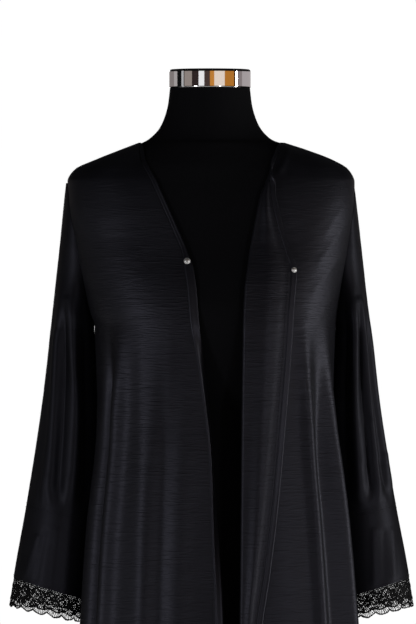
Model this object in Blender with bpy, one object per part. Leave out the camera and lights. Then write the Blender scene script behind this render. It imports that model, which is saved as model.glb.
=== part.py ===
"""An open-front abaya on a limbless dress form and stand.

Metres, +Z up. The viewer looks along +Y, so the front of the garment faces -Y.
The origin is the centre of the stand's underside, on the floor. Right and left
are the wearer's own, so the right front and right sleeve are at -X.

The body cloth is one family of horizontal rings, each a rounded rectangle with
its own half-widths and depths, raised or sunk along its outward direction by
the folds. Front panels, back, bands and neckline are cut from those rings. The
sleeves are a second family of rings, open at the armhole and closed below it.
"""

import math
from typing import NamedTuple

import bpy
import numpy as np
from mathutils import Vector
from mathutils.geometry import delaunay_2d_cdt

# Heights of the garment's lines
NECK_TOP = 1.4480
NECK_SEAM = 1.4435
SHOULDER_TIP = 1.3920
UNDERARM = 1.1810
LOW = 0.7410
HEM = 0.0500

# Cloth and seams
WALL = 0.0015
BAND_WALL = 0.0022
LACE_WALL = 0.0012
SEAM = 0.0003
ARMHOLE_SEAM = 0.0009

# Bands along the front edges, measured along a ring
NECKLINE_BAND = 0.0076
RIGHT_BAND = 0.0130
LEFT_BAND = 0.0092
V_POINT = 1.2750

# Rolls of the front edges
RIGHT_ROLL_RADIUS = 0.0030
LAPEL_ROLL_RADIUS = 0.0035

# Sleeves
ARMHOLE_DEPTH = 0.0400
SLEEVE_CENTRE_Y = 0.0050
UNDERARM_HALF_DEPTH = 0.0440
ARMHOLE_STEP = 0.0004
HEAD_GAP = 0.0010
UNDERARM_STEP = 0.0018
HEAD_FLATNESS = math.radians(38.0)
CUFF_SEAM = 0.9065
SLEEVE_HEM = 0.7940
CUFF_TILT = 12.0
HEM_TILT = 17.0
LACE_TILT = 12.0
LACE_TILT_FROM = 0.7580

# Lace edging
LACE_DEPTH = 0.0290
SCALLOP_DROP = 0.0050
SCALLOPS_PER_HALF = 8
SCALLOP_FULLNESS = 0.7

# Snaps
SNAP_RADIUS = 0.0048
SNAP_THICKNESS = 0.0022
RIGHT_SNAP_HEIGHT = 1.2750
LEFT_SNAP_HEIGHT = 1.2620

# Dress form and stand
SEAT = 0.0016
CHEST_INSET = 0.0030
CAP_RADIUS = 0.0597
CAP_BOTTOM = 1.5293
CAP_TOP = 1.5573
CAP_ROUND = 0.0035
FORM_BOTTOM = 0.6900
POLE_RADIUS = 0.0160
BASE_RADIUS = 0.1700
BASE_EDGE = 0.0080
BASE_HUB_RADIUS = 0.0350
BASE_HUB_TOP = 0.0240

RIGHT, LEFT = -1, 1
FRONT, BACK = -1, 1

# How columns are spread over a row
FOLDS_LEAD_FROM = 1.34
FOLDS_LEAD_OVER = 0.12
HOLLOW_REACH = 0.055
LEAST_SPACING = 0.35
CROWDING = 1.6
LEAST_LAPEL = 0.0100
SLEEVE_FOLDS_FROM = 1.25
SLEEVE_FOLDS_OVER = 0.07
FORM_COLUMNS_PER_QUARTER = 7

# Small steps over which a surface's normal is taken
PROBE_Z, PROBE_SHARE = 0.0006, 0.0015


class BodySection(NamedTuple):
    """One horizontal ring of the body cloth, at its wall's mid surface."""

    z: float
    right: float
    left: float
    front: float
    back: float
    square: float


BODY_SECTIONS = [
    BodySection(1.4480, 0.1050, 0.1100, 0.0755, 0.0820, 2.00),
    BodySection(1.4380, 0.1310, 0.1410, 0.0800, 0.0865, 2.00),
    BodySection(1.4235, 0.1676, 0.1790, 0.0865, 0.0910, 2.05),
    BodySection(1.4090, 0.1985, 0.2030, 0.0925, 0.0970, 2.15),
    BodySection(1.3920, 0.2087, 0.2117, 0.0985, 0.1020, 2.30),
    BodySection(1.3600, 0.2090, 0.2140, 0.1070, 0.1090, 2.45),
    BodySection(1.3000, 0.1995, 0.2060, 0.1200, 0.1140, 2.60),
    BodySection(1.2400, 0.1855, 0.1935, 0.1370, 0.1170, 2.65),
    BodySection(1.2000, 0.1755, 0.1865, 0.1440, 0.1180, 2.70),
    BodySection(1.1810, 0.1690, 0.1845, 0.1460, 0.1180, 2.70),
    BodySection(1.0400, 0.1680, 0.1870, 0.1510, 0.1220, 2.80),
    BodySection(0.8650, 0.1820, 0.2020, 0.1570, 0.1300, 2.90),
    BodySection(0.7410, 0.1900, 0.2120, 0.1620, 0.1370, 2.90),
    BodySection(0.4000, 0.2150, 0.2350, 0.1780, 0.1600, 2.80),
    BodySection(0.0500, 0.2400, 0.2550, 0.1950, 0.1820, 2.60),
]


class Fold(NamedTuple):
    """A ridge, or a trough where its height is negative, running down the body.

    Its place on a ring is a share of the way from the centre line to the side
    line, given at its start, at LOW and at the hem.
    """

    name: str
    side: int
    half: int
    start_share: float
    low_share: float
    hem_share: float
    start: float
    rise: float
    height: float
    hem_height: float
    spread: float


BODY_FOLDS = [
    Fold("right_inner_roll", RIGHT, FRONT, 0.16, 0.17, 0.20, 1.17, 0.30, 0.0030, 0.0100, 0.020),
    Fold("right_centre_trough", RIGHT, FRONT, 0.24, 0.25, 0.30, 1.17, 0.25, -0.0040, -0.0100, 0.016),
    Fold("right_main_ridge", RIGHT, FRONT, 0.33, 0.34, 0.40, 1.20, 0.25, 0.0060, 0.0140, 0.024),
    Fold("right_panel_edge", RIGHT, FRONT, 0.53, 0.56, 0.60, 1.20, 0.16, 0.0110, 0.0150, 0.014),
    Fold("right_side_trough", RIGHT, FRONT, 0.61, 0.63, 0.68, 1.20, 0.16, -0.0150, -0.0150, 0.010),
    Fold("right_outer_strip", RIGHT, FRONT, 0.74, 0.74, 0.78, 1.17, 0.30, 0.0080, 0.0120, 0.020),
    Fold("left_centre_roll", LEFT, FRONT, 0.40, 0.40, 0.36, 1.10, 0.40, 0.0020, 0.0100, 0.030),
    Fold("left_main_ridge", LEFT, FRONT, 0.52, 0.53, 0.50, 1.22, 0.22, 0.0110, 0.0160, 0.012),
    Fold("left_middle_trough", LEFT, FRONT, 0.60, 0.62, 0.60, 1.20, 0.25, -0.0120, -0.0150, 0.015),
    Fold("left_outer_ridge", LEFT, FRONT, 0.69, 0.74, 0.74, 1.22, 0.30, 0.0170, 0.0180, 0.013),
    Fold("right_side_hollow", RIGHT, FRONT, 1.00, 1.00, 1.00, 1.20, 0.34, -0.0180, -0.0120, 0.046),
    Fold("right_side_hollow", RIGHT, BACK, 1.00, 1.00, 1.00, 1.20, 0.34, -0.0180, -0.0120, 0.046),
    Fold("left_side_hollow", LEFT, FRONT, 1.00, 1.00, 1.00, 1.20, 0.34, -0.0370, -0.0160, 0.046),
    Fold("left_side_hollow", LEFT, BACK, 1.00, 1.00, 1.00, 1.20, 0.34, -0.0370, -0.0160, 0.046),
    Fold("right_back_ridge", RIGHT, BACK, 0.70, 0.72, 0.74, 1.20, 0.30, 0.0110, 0.0180, 0.016),
    Fold("right_back_trough", RIGHT, BACK, 0.58, 0.59, 0.61, 1.20, 0.30, -0.0100, -0.0150, 0.015),
    Fold("right_back_inner_ridge", RIGHT, BACK, 0.42, 0.43, 0.46, 1.15, 0.35, 0.0080, 0.0150, 0.020),
    Fold("right_back_inner_trough", RIGHT, BACK, 0.24, 0.25, 0.28, 1.15, 0.35, -0.0060, -0.0130, 0.020),
    Fold("back_centre_ridge", RIGHT, BACK, 0.00, 0.02, 0.05, 1.10, 0.40, 0.0060, 0.0140, 0.026),
    Fold("back_centre_ridge", LEFT, BACK, 0.00, -0.02, -0.05, 1.10, 0.40, 0.0060, 0.0140, 0.026),
    Fold("left_back_inner_trough", LEFT, BACK, 0.23, 0.22, 0.20, 1.12, 0.35, -0.0060, -0.0120, 0.020),
    Fold("left_back_inner_ridge", LEFT, BACK, 0.38, 0.38, 0.37, 1.16, 0.35, 0.0090, 0.0160, 0.018),
    Fold("left_back_trough", LEFT, BACK, 0.55, 0.56, 0.55, 1.20, 0.30, -0.0110, -0.0150, 0.016),
    Fold("left_back_ridge", LEFT, BACK, 0.69, 0.71, 0.71, 1.22, 0.30, 0.0130, 0.0180, 0.016),
]


class EdgeStation(NamedTuple):
    """The right front's band at one height: where its seam lies and how far it turns in."""

    z: float
    seam_x: float
    turn: float


RIGHT_EDGE = [
    EdgeStation(1.4480, -0.1035, 0.0),
    EdgeStation(1.4260, -0.1015, 0.0),
    EdgeStation(1.3930, -0.0860, 0.0),
    EdgeStation(1.3550, -0.0690, 0.0),
    EdgeStation(1.3210, -0.0540, 0.0),
    EdgeStation(1.2840, -0.0395, 0.0),
    EdgeStation(1.2650, -0.0370, 2.0),
    EdgeStation(1.2390, -0.0330, 6.0),
    EdgeStation(1.1880, -0.0284, 12.0),
    EdgeStation(1.1350, -0.0190, 48.0),
    EdgeStation(1.0670, -0.0095, 66.0),
    EdgeStation(0.9940, -0.0015, 78.0),
    EdgeStation(0.9300, 0.0012, 68.0),
    EdgeStation(0.8710, 0.0032, 48.0),
    EdgeStation(0.7670, 0.0073, 26.0),
    EdgeStation(0.4500, 0.0120, 12.0),
    EdgeStation(0.0500, 0.0160, 6.0),
]


class LapelStation(NamedTuple):
    """The left front at one height: its turn line, how far it turns and the cloth past that line."""

    z: float
    turn_x: float
    turn: float
    past: float


LEFT_EDGE = [
    LapelStation(1.4480, 0.1055, 0.0, 0.0076),
    LapelStation(1.4250, 0.0975, 0.0, 0.0080),
    LapelStation(1.4050, 0.0900, 100.0, 0.0120),
    LapelStation(1.3870, 0.0835, 180.0, 0.0220),
    LapelStation(1.3720, 0.0770, 180.0, 0.0290),
    LapelStation(1.3280, 0.0679, 180.0, 0.0476),
    LapelStation(1.2880, 0.0605, 180.0, 0.0670),
    LapelStation(1.2620, 0.0570, 180.0, 0.0790),
    LapelStation(1.2380, 0.0541, 180.0, 0.0809),
    LapelStation(1.1920, 0.0515, 180.0, 0.0799),
    LapelStation(1.0120, 0.0491, 180.0, 0.0680),
    LapelStation(0.9080, 0.0483, 180.0, 0.0591),
    LapelStation(0.8190, 0.0475, 180.0, 0.0492),
    LapelStation(0.7470, 0.0465, 180.0, 0.0399),
    LapelStation(0.6200, 0.0465, 180.0, 0.0330),
    LapelStation(0.5000, 0.0480, 180.0, 0.0300),
    LapelStation(0.0500, 0.0540, 180.0, 0.0290),
]


class SleeveStation(NamedTuple):
    """One ring of a sleeve: how far its outer and inner lines stand from the centre plane."""

    z: float
    right_outer: float
    left_outer: float
    right_inner: float
    left_inner: float
    half_depth: float


SLEEVE_STATIONS = [
    SleeveStation(1.3920, 0.2105, 0.2105, 0.2087, 0.2117, 0.0440),
    SleeveStation(1.3650, 0.2135, 0.2140, 0.2060, 0.2110, 0.0440),
    SleeveStation(1.2900, 0.2210, 0.2225, 0.1960, 0.2020, 0.0440),
    SleeveStation(1.2180, 0.2290, 0.2305, 0.1800, 0.1900, 0.0440),
    SleeveStation(1.1810, 0.2330, 0.2345, 0.1713, 0.1866, 0.0440),
    SleeveStation(1.0700, 0.2455, 0.2470, 0.1674, 0.1818, 0.0470),
    SleeveStation(0.9090, 0.2690, 0.2725, 0.1724, 0.1825, 0.0520),
    SleeveStation(0.7975, 0.2877, 0.2920, 0.1805, 0.1845, 0.0560),
    SleeveStation(0.7600, 0.2930, 0.2970, 0.1835, 0.1865, 0.0570),
]


SLEEVE_COLUMNS = {RIGHT: (2, 2, 1, 1, 3, 3, 2, 2, 4), LEFT: (3, 2, 1, 1, 1, 1, 2, 3, 2, 2, 4)}


class SleeveFold(NamedTuple):
    """A ridge or trough down a sleeve, placed by its angle from the outer line towards the front."""

    side: int
    top_angle: float
    low_angle: float
    height: float
    spread: float


SLEEVE_FOLDS = [
    SleeveFold(RIGHT, 42.0, 62.0, 0.0050, 11.0),
    SleeveFold(RIGHT, 62.0, 84.0, -0.0060, 10.0),
    SleeveFold(RIGHT, 84.0, 108.0, 0.0050, 11.0),
    SleeveFold(RIGHT, 118.0, 136.0, -0.0060, 14.0),
    SleeveFold(RIGHT, -60.0, -50.0, 0.0050, 14.0),
    SleeveFold(RIGHT, -88.0, -84.0, -0.0050, 13.0),
    SleeveFold(RIGHT, -115.0, -118.0, 0.0050, 14.0),
    SleeveFold(LEFT, 20.0, 24.0, 0.0040, 9.0),
    SleeveFold(LEFT, 34.0, 40.0, -0.0045, 8.0),
    SleeveFold(LEFT, 48.0, 58.0, 0.0050, 9.0),
    SleeveFold(LEFT, 64.0, 76.0, -0.0045, 8.0),
    SleeveFold(LEFT, 82.0, 96.0, 0.0060, 10.0),
    SleeveFold(LEFT, 116.0, 130.0, -0.0070, 15.0),
    SleeveFold(LEFT, -58.0, -48.0, 0.0050, 14.0),
    SleeveFold(LEFT, -90.0, -84.0, -0.0050, 13.0),
    SleeveFold(LEFT, -118.0, -120.0, 0.0050, 14.0),
]


class FormSection(NamedTuple):
    """One horizontal ring of the dress form."""

    z: float
    half: float
    front: float
    back: float
    square: float


FORM_SECTIONS = [
    FormSection(1.5290, 0.0588, 0.0588, 0.0588, 2.00),
    FormSection(1.5050, 0.0617, 0.0600, 0.0608, 2.00),
    FormSection(1.4860, 0.0668, 0.0616, 0.0637, 2.00),
    FormSection(1.4690, 0.0750, 0.0642, 0.0677, 2.00),
    FormSection(1.4530, 0.0915, 0.0690, 0.0740, 2.00),
]

FORM_BODY_SECTIONS = [
    FormSection(1.3600, 0.2040, 0.1020, 0.1035, 2.35),
    FormSection(1.3000, 0.1850, 0.1140, 0.1080, 2.25),
    FormSection(1.2400, 0.1640, 0.1310, 0.1100, 2.20),
    FormSection(1.2000, 0.1550, 0.1380, 0.1100, 2.20),
    FormSection(1.1000, 0.1350, 0.1150, 0.0970, 2.10),
    FormSection(1.0500, 0.1260, 0.1000, 0.0910, 2.10),
    FormSection(0.9800, 0.1340, 0.1010, 0.1000, 2.15),
    FormSection(0.8700, 0.1540, 0.1080, 0.1170, 2.20),
    FormSection(0.7400, 0.1520, 0.1020, 0.1090, 2.20),
    FormSection(0.6980, 0.1440, 0.0960, 0.1020, 2.20),
    FormSection(FORM_BOTTOM, 0.1340, 0.0880, 0.0940, 2.20),
]

PANEL_ROWS = [
    NECK_SEAM, 1.4370, 1.4270, 1.4165, 1.4080, 1.4000, SHOULDER_TIP,
    1.3865, 1.3740, 1.3550, 1.3250, 1.2950, 1.2650, 1.2350, 1.2050, 1.1870,
    UNDERARM, 1.1300, 1.0700, 1.0000, 0.9250, 0.8350, LOW,
    0.6200, 0.5000, 0.3800, 0.2200, HEM,
]  # fmt: skip


class Line:
    """A smooth line through a few stations, which never swings past them."""

    def __init__(self, stations):
        rows = sorted(stations)
        self.at = np.array([row[0] for row in rows], float)
        self.value = np.array([row[1] for row in rows], float)
        step = np.diff(self.at)
        rise = np.diff(self.value) / step
        slope = np.zeros(len(rows))
        same_way = rise[:-1] * rise[1:] > 0
        before, after = rise[:-1][same_way], rise[1:][same_way]
        slope[1:-1][same_way] = 2 * before * after / (before + after)
        slope[0], slope[-1] = rise[0], rise[-1]
        self.slope = slope

    def __call__(self, where):
        where = np.clip(where, self.at[0], self.at[-1])
        low = np.clip(np.searchsorted(self.at, where) - 1, 0, len(self.at) - 2)
        step = self.at[low + 1] - self.at[low]
        t = (where - self.at[low]) / step
        return (
            (1 + 2 * t) * (1 - t) ** 2 * self.value[low]
            + t * (1 - t) ** 2 * step * self.slope[low]
            + t * t * (3 - 2 * t) * self.value[low + 1]
            + t * t * (t - 1) * step * self.slope[low + 1]
        )


def column(rows, name):
    """The line that one column of a table makes over its heights."""
    return Line([(row.z, getattr(row, name)) for row in rows])


WIDTH = {RIGHT: column(BODY_SECTIONS, "right"), LEFT: column(BODY_SECTIONS, "left")}
DEPTH = {FRONT: column(BODY_SECTIONS, "front"), BACK: column(BODY_SECTIONS, "back")}
SQUARE = column(BODY_SECTIONS, "square")
SEAM_X = column(RIGHT_EDGE, "seam_x")
RIGHT_TURN = column(RIGHT_EDGE, "turn")
TURN_X = column(LEFT_EDGE, "turn_x")
LAPEL_TURN = column(LEFT_EDGE, "turn")
PAST_TURN = column(LEFT_EDGE, "past")


def band_width(below):
    """A band's width over its height: the neckline's down to the V, and this one below it."""
    above = [(NECK_TOP, NECKLINE_BAND), (V_POINT + 0.015, NECKLINE_BAND)]
    return Line([*above, (V_POINT - 0.012, below), (HEM, below)])


RIGHT_BAND_WIDTH, LEFT_BAND_WIDTH = band_width(RIGHT_BAND), band_width(LEFT_BAND)
SLEEVE_OUTER = {RIGHT: column(SLEEVE_STATIONS, "right_outer"), LEFT: column(SLEEVE_STATIONS, "left_outer")}
SLEEVE_INNER = {RIGHT: column(SLEEVE_STATIONS, "right_inner"), LEFT: column(SLEEVE_STATIONS, "left_inner")}
SLEEVE_DEPTH = column(SLEEVE_STATIONS, "half_depth")
SLEEVE_TILT = Line([
    (UNDERARM + 0.05, 0.0), (UNDERARM, 0.0), (CUFF_SEAM, CUFF_TILT),
    (SLEEVE_HEM, HEM_TILT), (LACE_TILT_FROM, LACE_TILT), (LACE_TILT_FROM - 0.05, LACE_TILT),
])  # fmt: skip


def smooth(t):
    """0 below 0, 1 above 1, and an even ease between them."""
    t = np.clip(t, 0.0, 1.0)
    return t * t * (3 - 2 * t)


RING_STEPS = np.linspace(0.0, 1.0, 161)


def quarter(z, side, half, width=None, depth=None, square=None):
    """A quarter of a ring, centre line to side line: points, outward directions and lengths run."""
    width = WIDTH[side](z) if width is None else width
    depth = DEPTH[half](z) if depth is None else depth
    square = SQUARE(z) if square is None else square
    near, far = RING_STEPS ** (square / 2), (1 - RING_STEPS) ** (square / 2)
    angle = math.pi / 2 * near / (near + far)
    x, y = np.sin(angle) ** (2 / square), np.cos(angle) ** (2 / square)
    points = np.stack([side * width * x, half * depth * y], 1)
    outward = np.stack([side * x ** (square - 1) / width, half * y ** (square - 1) / depth], 1)
    outward /= np.linalg.norm(outward, axis=1, keepdims=True)
    run = np.concatenate([[0.0], np.cumsum(np.linalg.norm(np.diff(points, axis=0), axis=1))])
    return points, outward, run


def quarter_length(z, side, half):
    """How long a quarter of the ring is."""
    return quarter(z, side, half)[2][-1]


def fold_share(fold, z):
    """Where a fold lies on the ring at this height, as a share of its quarter."""
    if z > LOW:
        t = smooth((fold.start - z) / (fold.start - LOW))
        return fold.start_share + (fold.low_share - fold.start_share) * t
    t = (LOW - z) / (LOW - HEM)
    return fold.low_share + (fold.hem_share - fold.low_share) * t


def fold_height(fold, z):
    """How far a fold stands out of the ring at this height."""
    grown = fold.height * smooth((fold.start - z) / fold.rise)
    return grown + (fold.hem_height - fold.height) * np.clip((LOW - z) / (LOW - HEM), 0.0, 1.0)


def swell(z, side, half, run, length):
    """The sum of the folds' heights at places along one quarter."""
    total = np.zeros_like(run)
    for fold in BODY_FOLDS:
        if fold.side == side and fold.half == half:
            off = (run - fold_share(fold, z) * length) / fold.spread
            total += fold_height(fold, z) * np.exp(-off * off)
    return total


def ring_points(z, side, half, run, lift):
    """Points of the body cloth at lengths run from the centre line, moved out by lift."""
    points, outward, lengths = quarter(z, side, half)
    run = np.asarray(run, float)
    at = np.stack([np.interp(run, lengths, points[:, i]) for i in (0, 1)], 1)
    out = np.stack([np.interp(run, lengths, outward[:, i]) for i in (0, 1)], 1)
    out /= np.linalg.norm(out, axis=1, keepdims=True)
    past = np.maximum(run - lengths[-1], 0.0)
    at[:, 1] -= half * past
    height = swell(z, side, half, run, lengths[-1]) + lift
    at += out * height[:, None]
    return np.column_stack([at, np.full(len(run), z)])


def front_points(z, run, lift):
    """Points of the front cloth, by signed length from the centre front, negative on the wearer's right."""
    run = np.asarray(run, float)
    lift = np.broadcast_to(np.asarray(lift, float), run.shape)
    made = np.empty((len(run), 3))
    for side, chosen in ((RIGHT, run < 0), (LEFT, run >= 0)):
        if chosen.any():
            made[chosen] = ring_points(z, side, FRONT, np.abs(run[chosen]), lift[chosen])
    return made


def run_at_x(z, side, half, x):
    """The length along a quarter at which its plain ring reaches this distance from the centre plane."""
    points, _, lengths = quarter(z, side, half)
    return float(np.interp(abs(x), np.abs(points[:, 0]), lengths))


def signed_run(z, x):
    """The signed length along the front at which the plain ring reaches x."""
    return math.copysign(run_at_x(z, LEFT if x >= 0 else RIGHT, FRONT, x), x)


def armhole_y(z):
    """How far the armhole stands from the side line at this height, 0 where there is none.

    It runs straight from row to row, so that panels and sleeves share its corners.
    """
    middle, half_height = (SHOULDER_TIP + UNDERARM) / 2, (SHOULDER_TIP - UNDERARM) / 2
    rows = np.array(PANEL_ROWS[::-1])
    inside = np.clip(1 - ((rows - middle) / half_height) ** 2, 0.0, None)
    return float(np.interp(z, rows, ARMHOLE_DEPTH * np.sqrt(inside)))


def side_limit(z, side, half):
    """The length along a quarter at which its panel ends: the shoulder, armhole or side seam."""
    points, _, lengths = quarter(z, side, half)
    depth = armhole_y(z)
    if depth <= 0:
        return lengths[-1] - SEAM / 2
    return float(np.interp(-depth, -np.abs(points[:, 1]), lengths)) - ARMHOLE_SEAM


def stops_of(columns):
    """The shares of a row at which its anchors lie, from the columns between each two of them."""
    return np.concatenate([[0.0], np.cumsum(columns)]) / sum(columns)


def spread_between(share, anchors, columns):
    """Places at shares 0 to 1 of a row of anchors with so many columns between each two."""
    return np.interp(share, stops_of(columns), anchors)


def denser_outside(share):
    """Shares of a quarter that lie closer together towards the side line."""
    return 1 - (1 - share) ** CROWDING


def anchors_of(z, side, half, columns, inner, outer):
    """Column places between two limits: even at the yoke, on the folds below it."""
    length = quarter_length(z, side, half)
    folds = [f for f in BODY_FOLDS if f.side == side and f.half == half and 0.03 < f.low_share < 1]
    found = sorted(fold_share(fold, z) * length for fold in folds)
    found = [inner, *found, length - HOLLOW_REACH, outer]
    count = len(found) - 1
    least = (outer - inner) / count * LEAST_SPACING
    for i in range(count - 1, 0, -1):
        found[i] = min(found[i], found[i + 1] - least)
    for i in range(1, count):
        found[i] = max(found[i], found[i - 1] + least)
    plain = inner + (outer - inner) * denser_outside(stops_of(columns))
    by_folds = smooth((FOLDS_LEAD_FROM - z) / FOLDS_LEAD_OVER)
    return plain + (np.array(found) - plain) * by_folds


RIGHT_COLUMNS = (2, 1, 1, 3, 1, 2, 1, 3)
LEFT_COLUMNS = (2, 2, 1, 2, 1, 2)
BACK_COLUMNS = {RIGHT: (2, 2, 2, 1, 1, 2), LEFT: (2, 1, 2, 2, 1, 2)}


def band_gap(z):
    """The gap at the bands' seams, wider on the flat of the shoulder, where they run aslant."""
    return SEAM * (1 + float(smooth((z - 1.40) / 0.03)))


def band_lift(z):
    """How far a band's wall stands out so that its inner face is flush with the panel's."""
    return (BAND_WALL - WALL) / 2 * float(smooth((1.430 - z) / 0.02))


def right_front(z, share):
    """The right front panel, from the band's seam to the side."""
    seam = signed_run(z, SEAM_X(z)) - band_gap(z) / 2
    limit = side_limit(z, RIGHT, FRONT)
    anchors = anchors_of(z, RIGHT, FRONT, RIGHT_COLUMNS, -seam, limit)
    return front_points(z, -spread_between(share, anchors, RIGHT_COLUMNS), 0.0)


def right_band(z, share):
    """The right front's band, which turns in from its seam by the angle of its station."""
    start = signed_run(z, SEAM_X(z)) + band_gap(z) / 2
    turn = math.radians(float(RIGHT_TURN(z)))
    past = np.asarray(share) * RIGHT_BAND_WIDTH(z)
    return rolled(z, start, past, turn, RIGHT_ROLL_RADIUS, 1, -1, band_lift(z))


def rolled(z, start, past, turn, radius, forward, outward, lift=0.0):
    """Cloth that leaves the ring at start, turns about a small roll and goes on straight.

    Past is the length of cloth beyond the start, negative before it. Forward is
    the sign of its way along the ring and outward of its way off the ring.
    """
    before = np.minimum(past, 0.0)
    bent = np.clip(past, 0.0, radius * turn)
    angle = bent / radius
    straight = past - before - bent
    along = before + radius * np.sin(angle) + straight * math.cos(turn)
    off = radius * (1 - np.cos(angle)) + straight * math.sin(turn)
    return front_points(z, start + forward * along, outward * off + lift)


def lapel(z, past, lift=0.0):
    """The left front past its turn line: the roll and the part that lies back on the panel."""
    turn = math.radians(float(LAPEL_TURN(z)))
    start = signed_run(z, TURN_X(z))
    return rolled(z, start, np.asarray(past, float), turn, LAPEL_ROLL_RADIUS, -1, 1, lift)


PANEL_COLUMNS, ROLL_COLUMNS, LAPEL_COLUMNS = sum(LEFT_COLUMNS), 4, 4


def left_front(z, share):
    """The left front panel with its lapel, from the side to the band's seam."""
    share = np.asarray(share, float)
    turn_run = signed_run(z, TURN_X(z))
    limit = side_limit(z, LEFT, FRONT)
    past = PAST_TURN(z) - LEFT_BAND_WIDTH(z) - band_gap(z) / 2
    roll = LAPEL_ROLL_RADIUS * math.radians(float(LAPEL_TURN(z)))
    lead = max(0.0, LEAST_LAPEL - past)
    total = PANEL_COLUMNS + ROLL_COLUMNS + LAPEL_COLUMNS
    panel_share, roll_share = PANEL_COLUMNS / total, (PANEL_COLUMNS + ROLL_COLUMNS) / total
    anchors = anchors_of(z, LEFT, FRONT, LEFT_COLUMNS, turn_run + lead, limit)
    on_panel = share <= panel_share + 1e-9
    made = np.empty((len(share), 3))
    if on_panel.any():
        run = spread_between(1 - share[on_panel] / panel_share, anchors, LEFT_COLUMNS)
        made[on_panel] = front_points(z, run, 0.0)
    roll = min(roll, 0.6 * past - 0.4 * lead)
    if lead > 0:
        roll = max(roll, 0.4 * past - 0.6 * lead)
    beyond = np.interp(share[~on_panel], [panel_share, roll_share, 1.0], [-lead, roll, past])
    if len(beyond):
        made[~on_panel] = lapel(z, beyond)
    return made


def left_band(z, share):
    """The left front's band, at the lapel's free edge."""
    start = PAST_TURN(z) - LEFT_BAND_WIDTH(z) + band_gap(z) / 2
    return lapel(z, start + np.asarray(share) * (PAST_TURN(z) - start), band_lift(z))


def back_panel(z, share):
    """The back, from the right side through the centre back to the left side."""
    share = np.asarray(share, float)
    made = np.empty((len(share), 3))
    for side, chosen in ((RIGHT, share < 0.5), (LEFT, share >= 0.5)):
        if not chosen.any():
            continue
        columns = BACK_COLUMNS[side]
        anchors = anchors_of(z, side, BACK, columns, 0.0, side_limit(z, side, BACK))
        run = spread_between(np.abs(2 * share[chosen] - 1), anchors, columns)
        made[chosen] = ring_points(z, side, BACK, run, np.zeros(len(run)))
    return made


def neck_band(z, share):
    """The band round the back of the neck, from the right neckline to the left one."""
    share = np.asarray(share, float)
    right_edge = signed_run(z, SEAM_X(z)) + NECKLINE_BAND
    left_edge = signed_run(z, TURN_X(z)) - NECKLINE_BAND
    reach = [-(quarter_length(z, RIGHT, FRONT) + right_edge), quarter_length(z, RIGHT, BACK),
             quarter_length(z, LEFT, BACK), quarter_length(z, LEFT, FRONT) - left_edge]  # fmt: skip
    stops = np.cumsum([0.0, -reach[0], reach[1], reach[2], reach[3]])
    along = share * stops[-1]
    made = np.empty((len(share), 3))
    pieces = [
        (along < stops[1], RIGHT, FRONT, lambda s: -right_edge + s),
        ((along >= stops[1]) & (along < stops[2]), RIGHT, BACK, lambda s: stops[2] - s),
        ((along >= stops[2]) & (along < stops[3]), LEFT, BACK, lambda s: s - stops[2]),
        (along >= stops[3], LEFT, FRONT, lambda s: left_edge + stops[4] - s),
    ]
    for chosen, side, half, run_of in pieces:
        if chosen.any():
            run = run_of(along[chosen])
            made[chosen] = ring_points(z, side, half, run, np.zeros(len(run)))
    return made


def sleeve_ring(z, side):
    """A sleeve ring's centre distance, half-width, half-depth and greatest angle from its outer line."""
    outer = float(SLEEVE_OUTER[side](z))
    if z < UNDERARM:
        inner = float(SLEEVE_INNER[side](z))
        return (outer + inner) / 2, (outer - inner) / 2, float(SLEEVE_DEPTH(z)), math.pi
    middle = (SHOULDER_TIP + UNDERARM) / 2
    depth = armhole_y(z + HEAD_GAP * float(smooth((z - middle) / (SHOULDER_TIP - middle))))
    if z > middle:
        reach = math.pi / 2 - HEAD_FLATNESS * float(smooth((z - middle) / (SHOULDER_TIP - middle)))
        half_depth = depth / math.sin(reach)
    else:
        grown = UNDERARM_HALF_DEPTH * float(smooth((middle - z) / (middle - UNDERARM)))
        half_depth = math.hypot(depth, grown)
        reach = math.pi - math.asin(depth / half_depth)
    points, _, _ = quarter(z, side, FRONT)
    inner = float(np.interp(-depth, -np.abs(points[:, 1]), np.abs(points[:, 0])))
    inner += ARMHOLE_STEP + UNDERARM_STEP * float(smooth((1.26 - z) / 0.06))
    half_width = max(outer - inner, 0.0012) / (1 - math.cos(reach))
    return outer - half_width, half_width, half_depth, reach


def fold_angle(fold, z):
    """Where a sleeve's fold lies at this height, as an angle from the outer line."""
    low = smooth((SHOULDER_TIP - z) / (SHOULDER_TIP - CUFF_SEAM))
    return math.radians(fold.top_angle + (fold.low_angle - fold.top_angle) * low)


def sleeve_swell(z, side, angle, reach):
    """The sum of a sleeve's folds, which run out at the armhole and at the cuff's seam."""
    total = np.zeros_like(angle)
    ends = smooth((z - CUFF_SEAM) / 0.045)
    if reach < math.pi:
        ends = ends * smooth((reach - np.abs(angle)) / 0.5)
    for fold in SLEEVE_FOLDS:
        if fold.side == side:
            off = (angle - fold_angle(fold, z)) / math.radians(fold.spread)
            grown = smooth((SLEEVE_FOLDS_FROM - z) / FOLDS_LEAD_OVER)
            total += fold.height * grown * ends * np.exp(-off * off)
    return total


def sleeve_angles(z, side, share, reach):
    """The angles of a sleeve's columns: even at its head, on its folds below it."""
    columns = SLEEVE_COLUMNS[side]
    folds = sorted((fold_angle(f, z) for f in SLEEVE_FOLDS if f.side == side), reverse=True)
    ahead = [angle for angle in folds if angle > 0]
    behind = [angle for angle in folds if angle < 0]
    on_folds = np.array([math.pi, *ahead, 0.0, *behind, -math.pi])
    stops = stops_of(columns)
    plain = math.pi * (1 - 2 * stops)
    anchors = plain + (on_folds - plain) * smooth((SLEEVE_FOLDS_FROM - z) / SLEEVE_FOLDS_OVER)
    return np.interp(share, stops, anchors) * reach / math.pi


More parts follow.
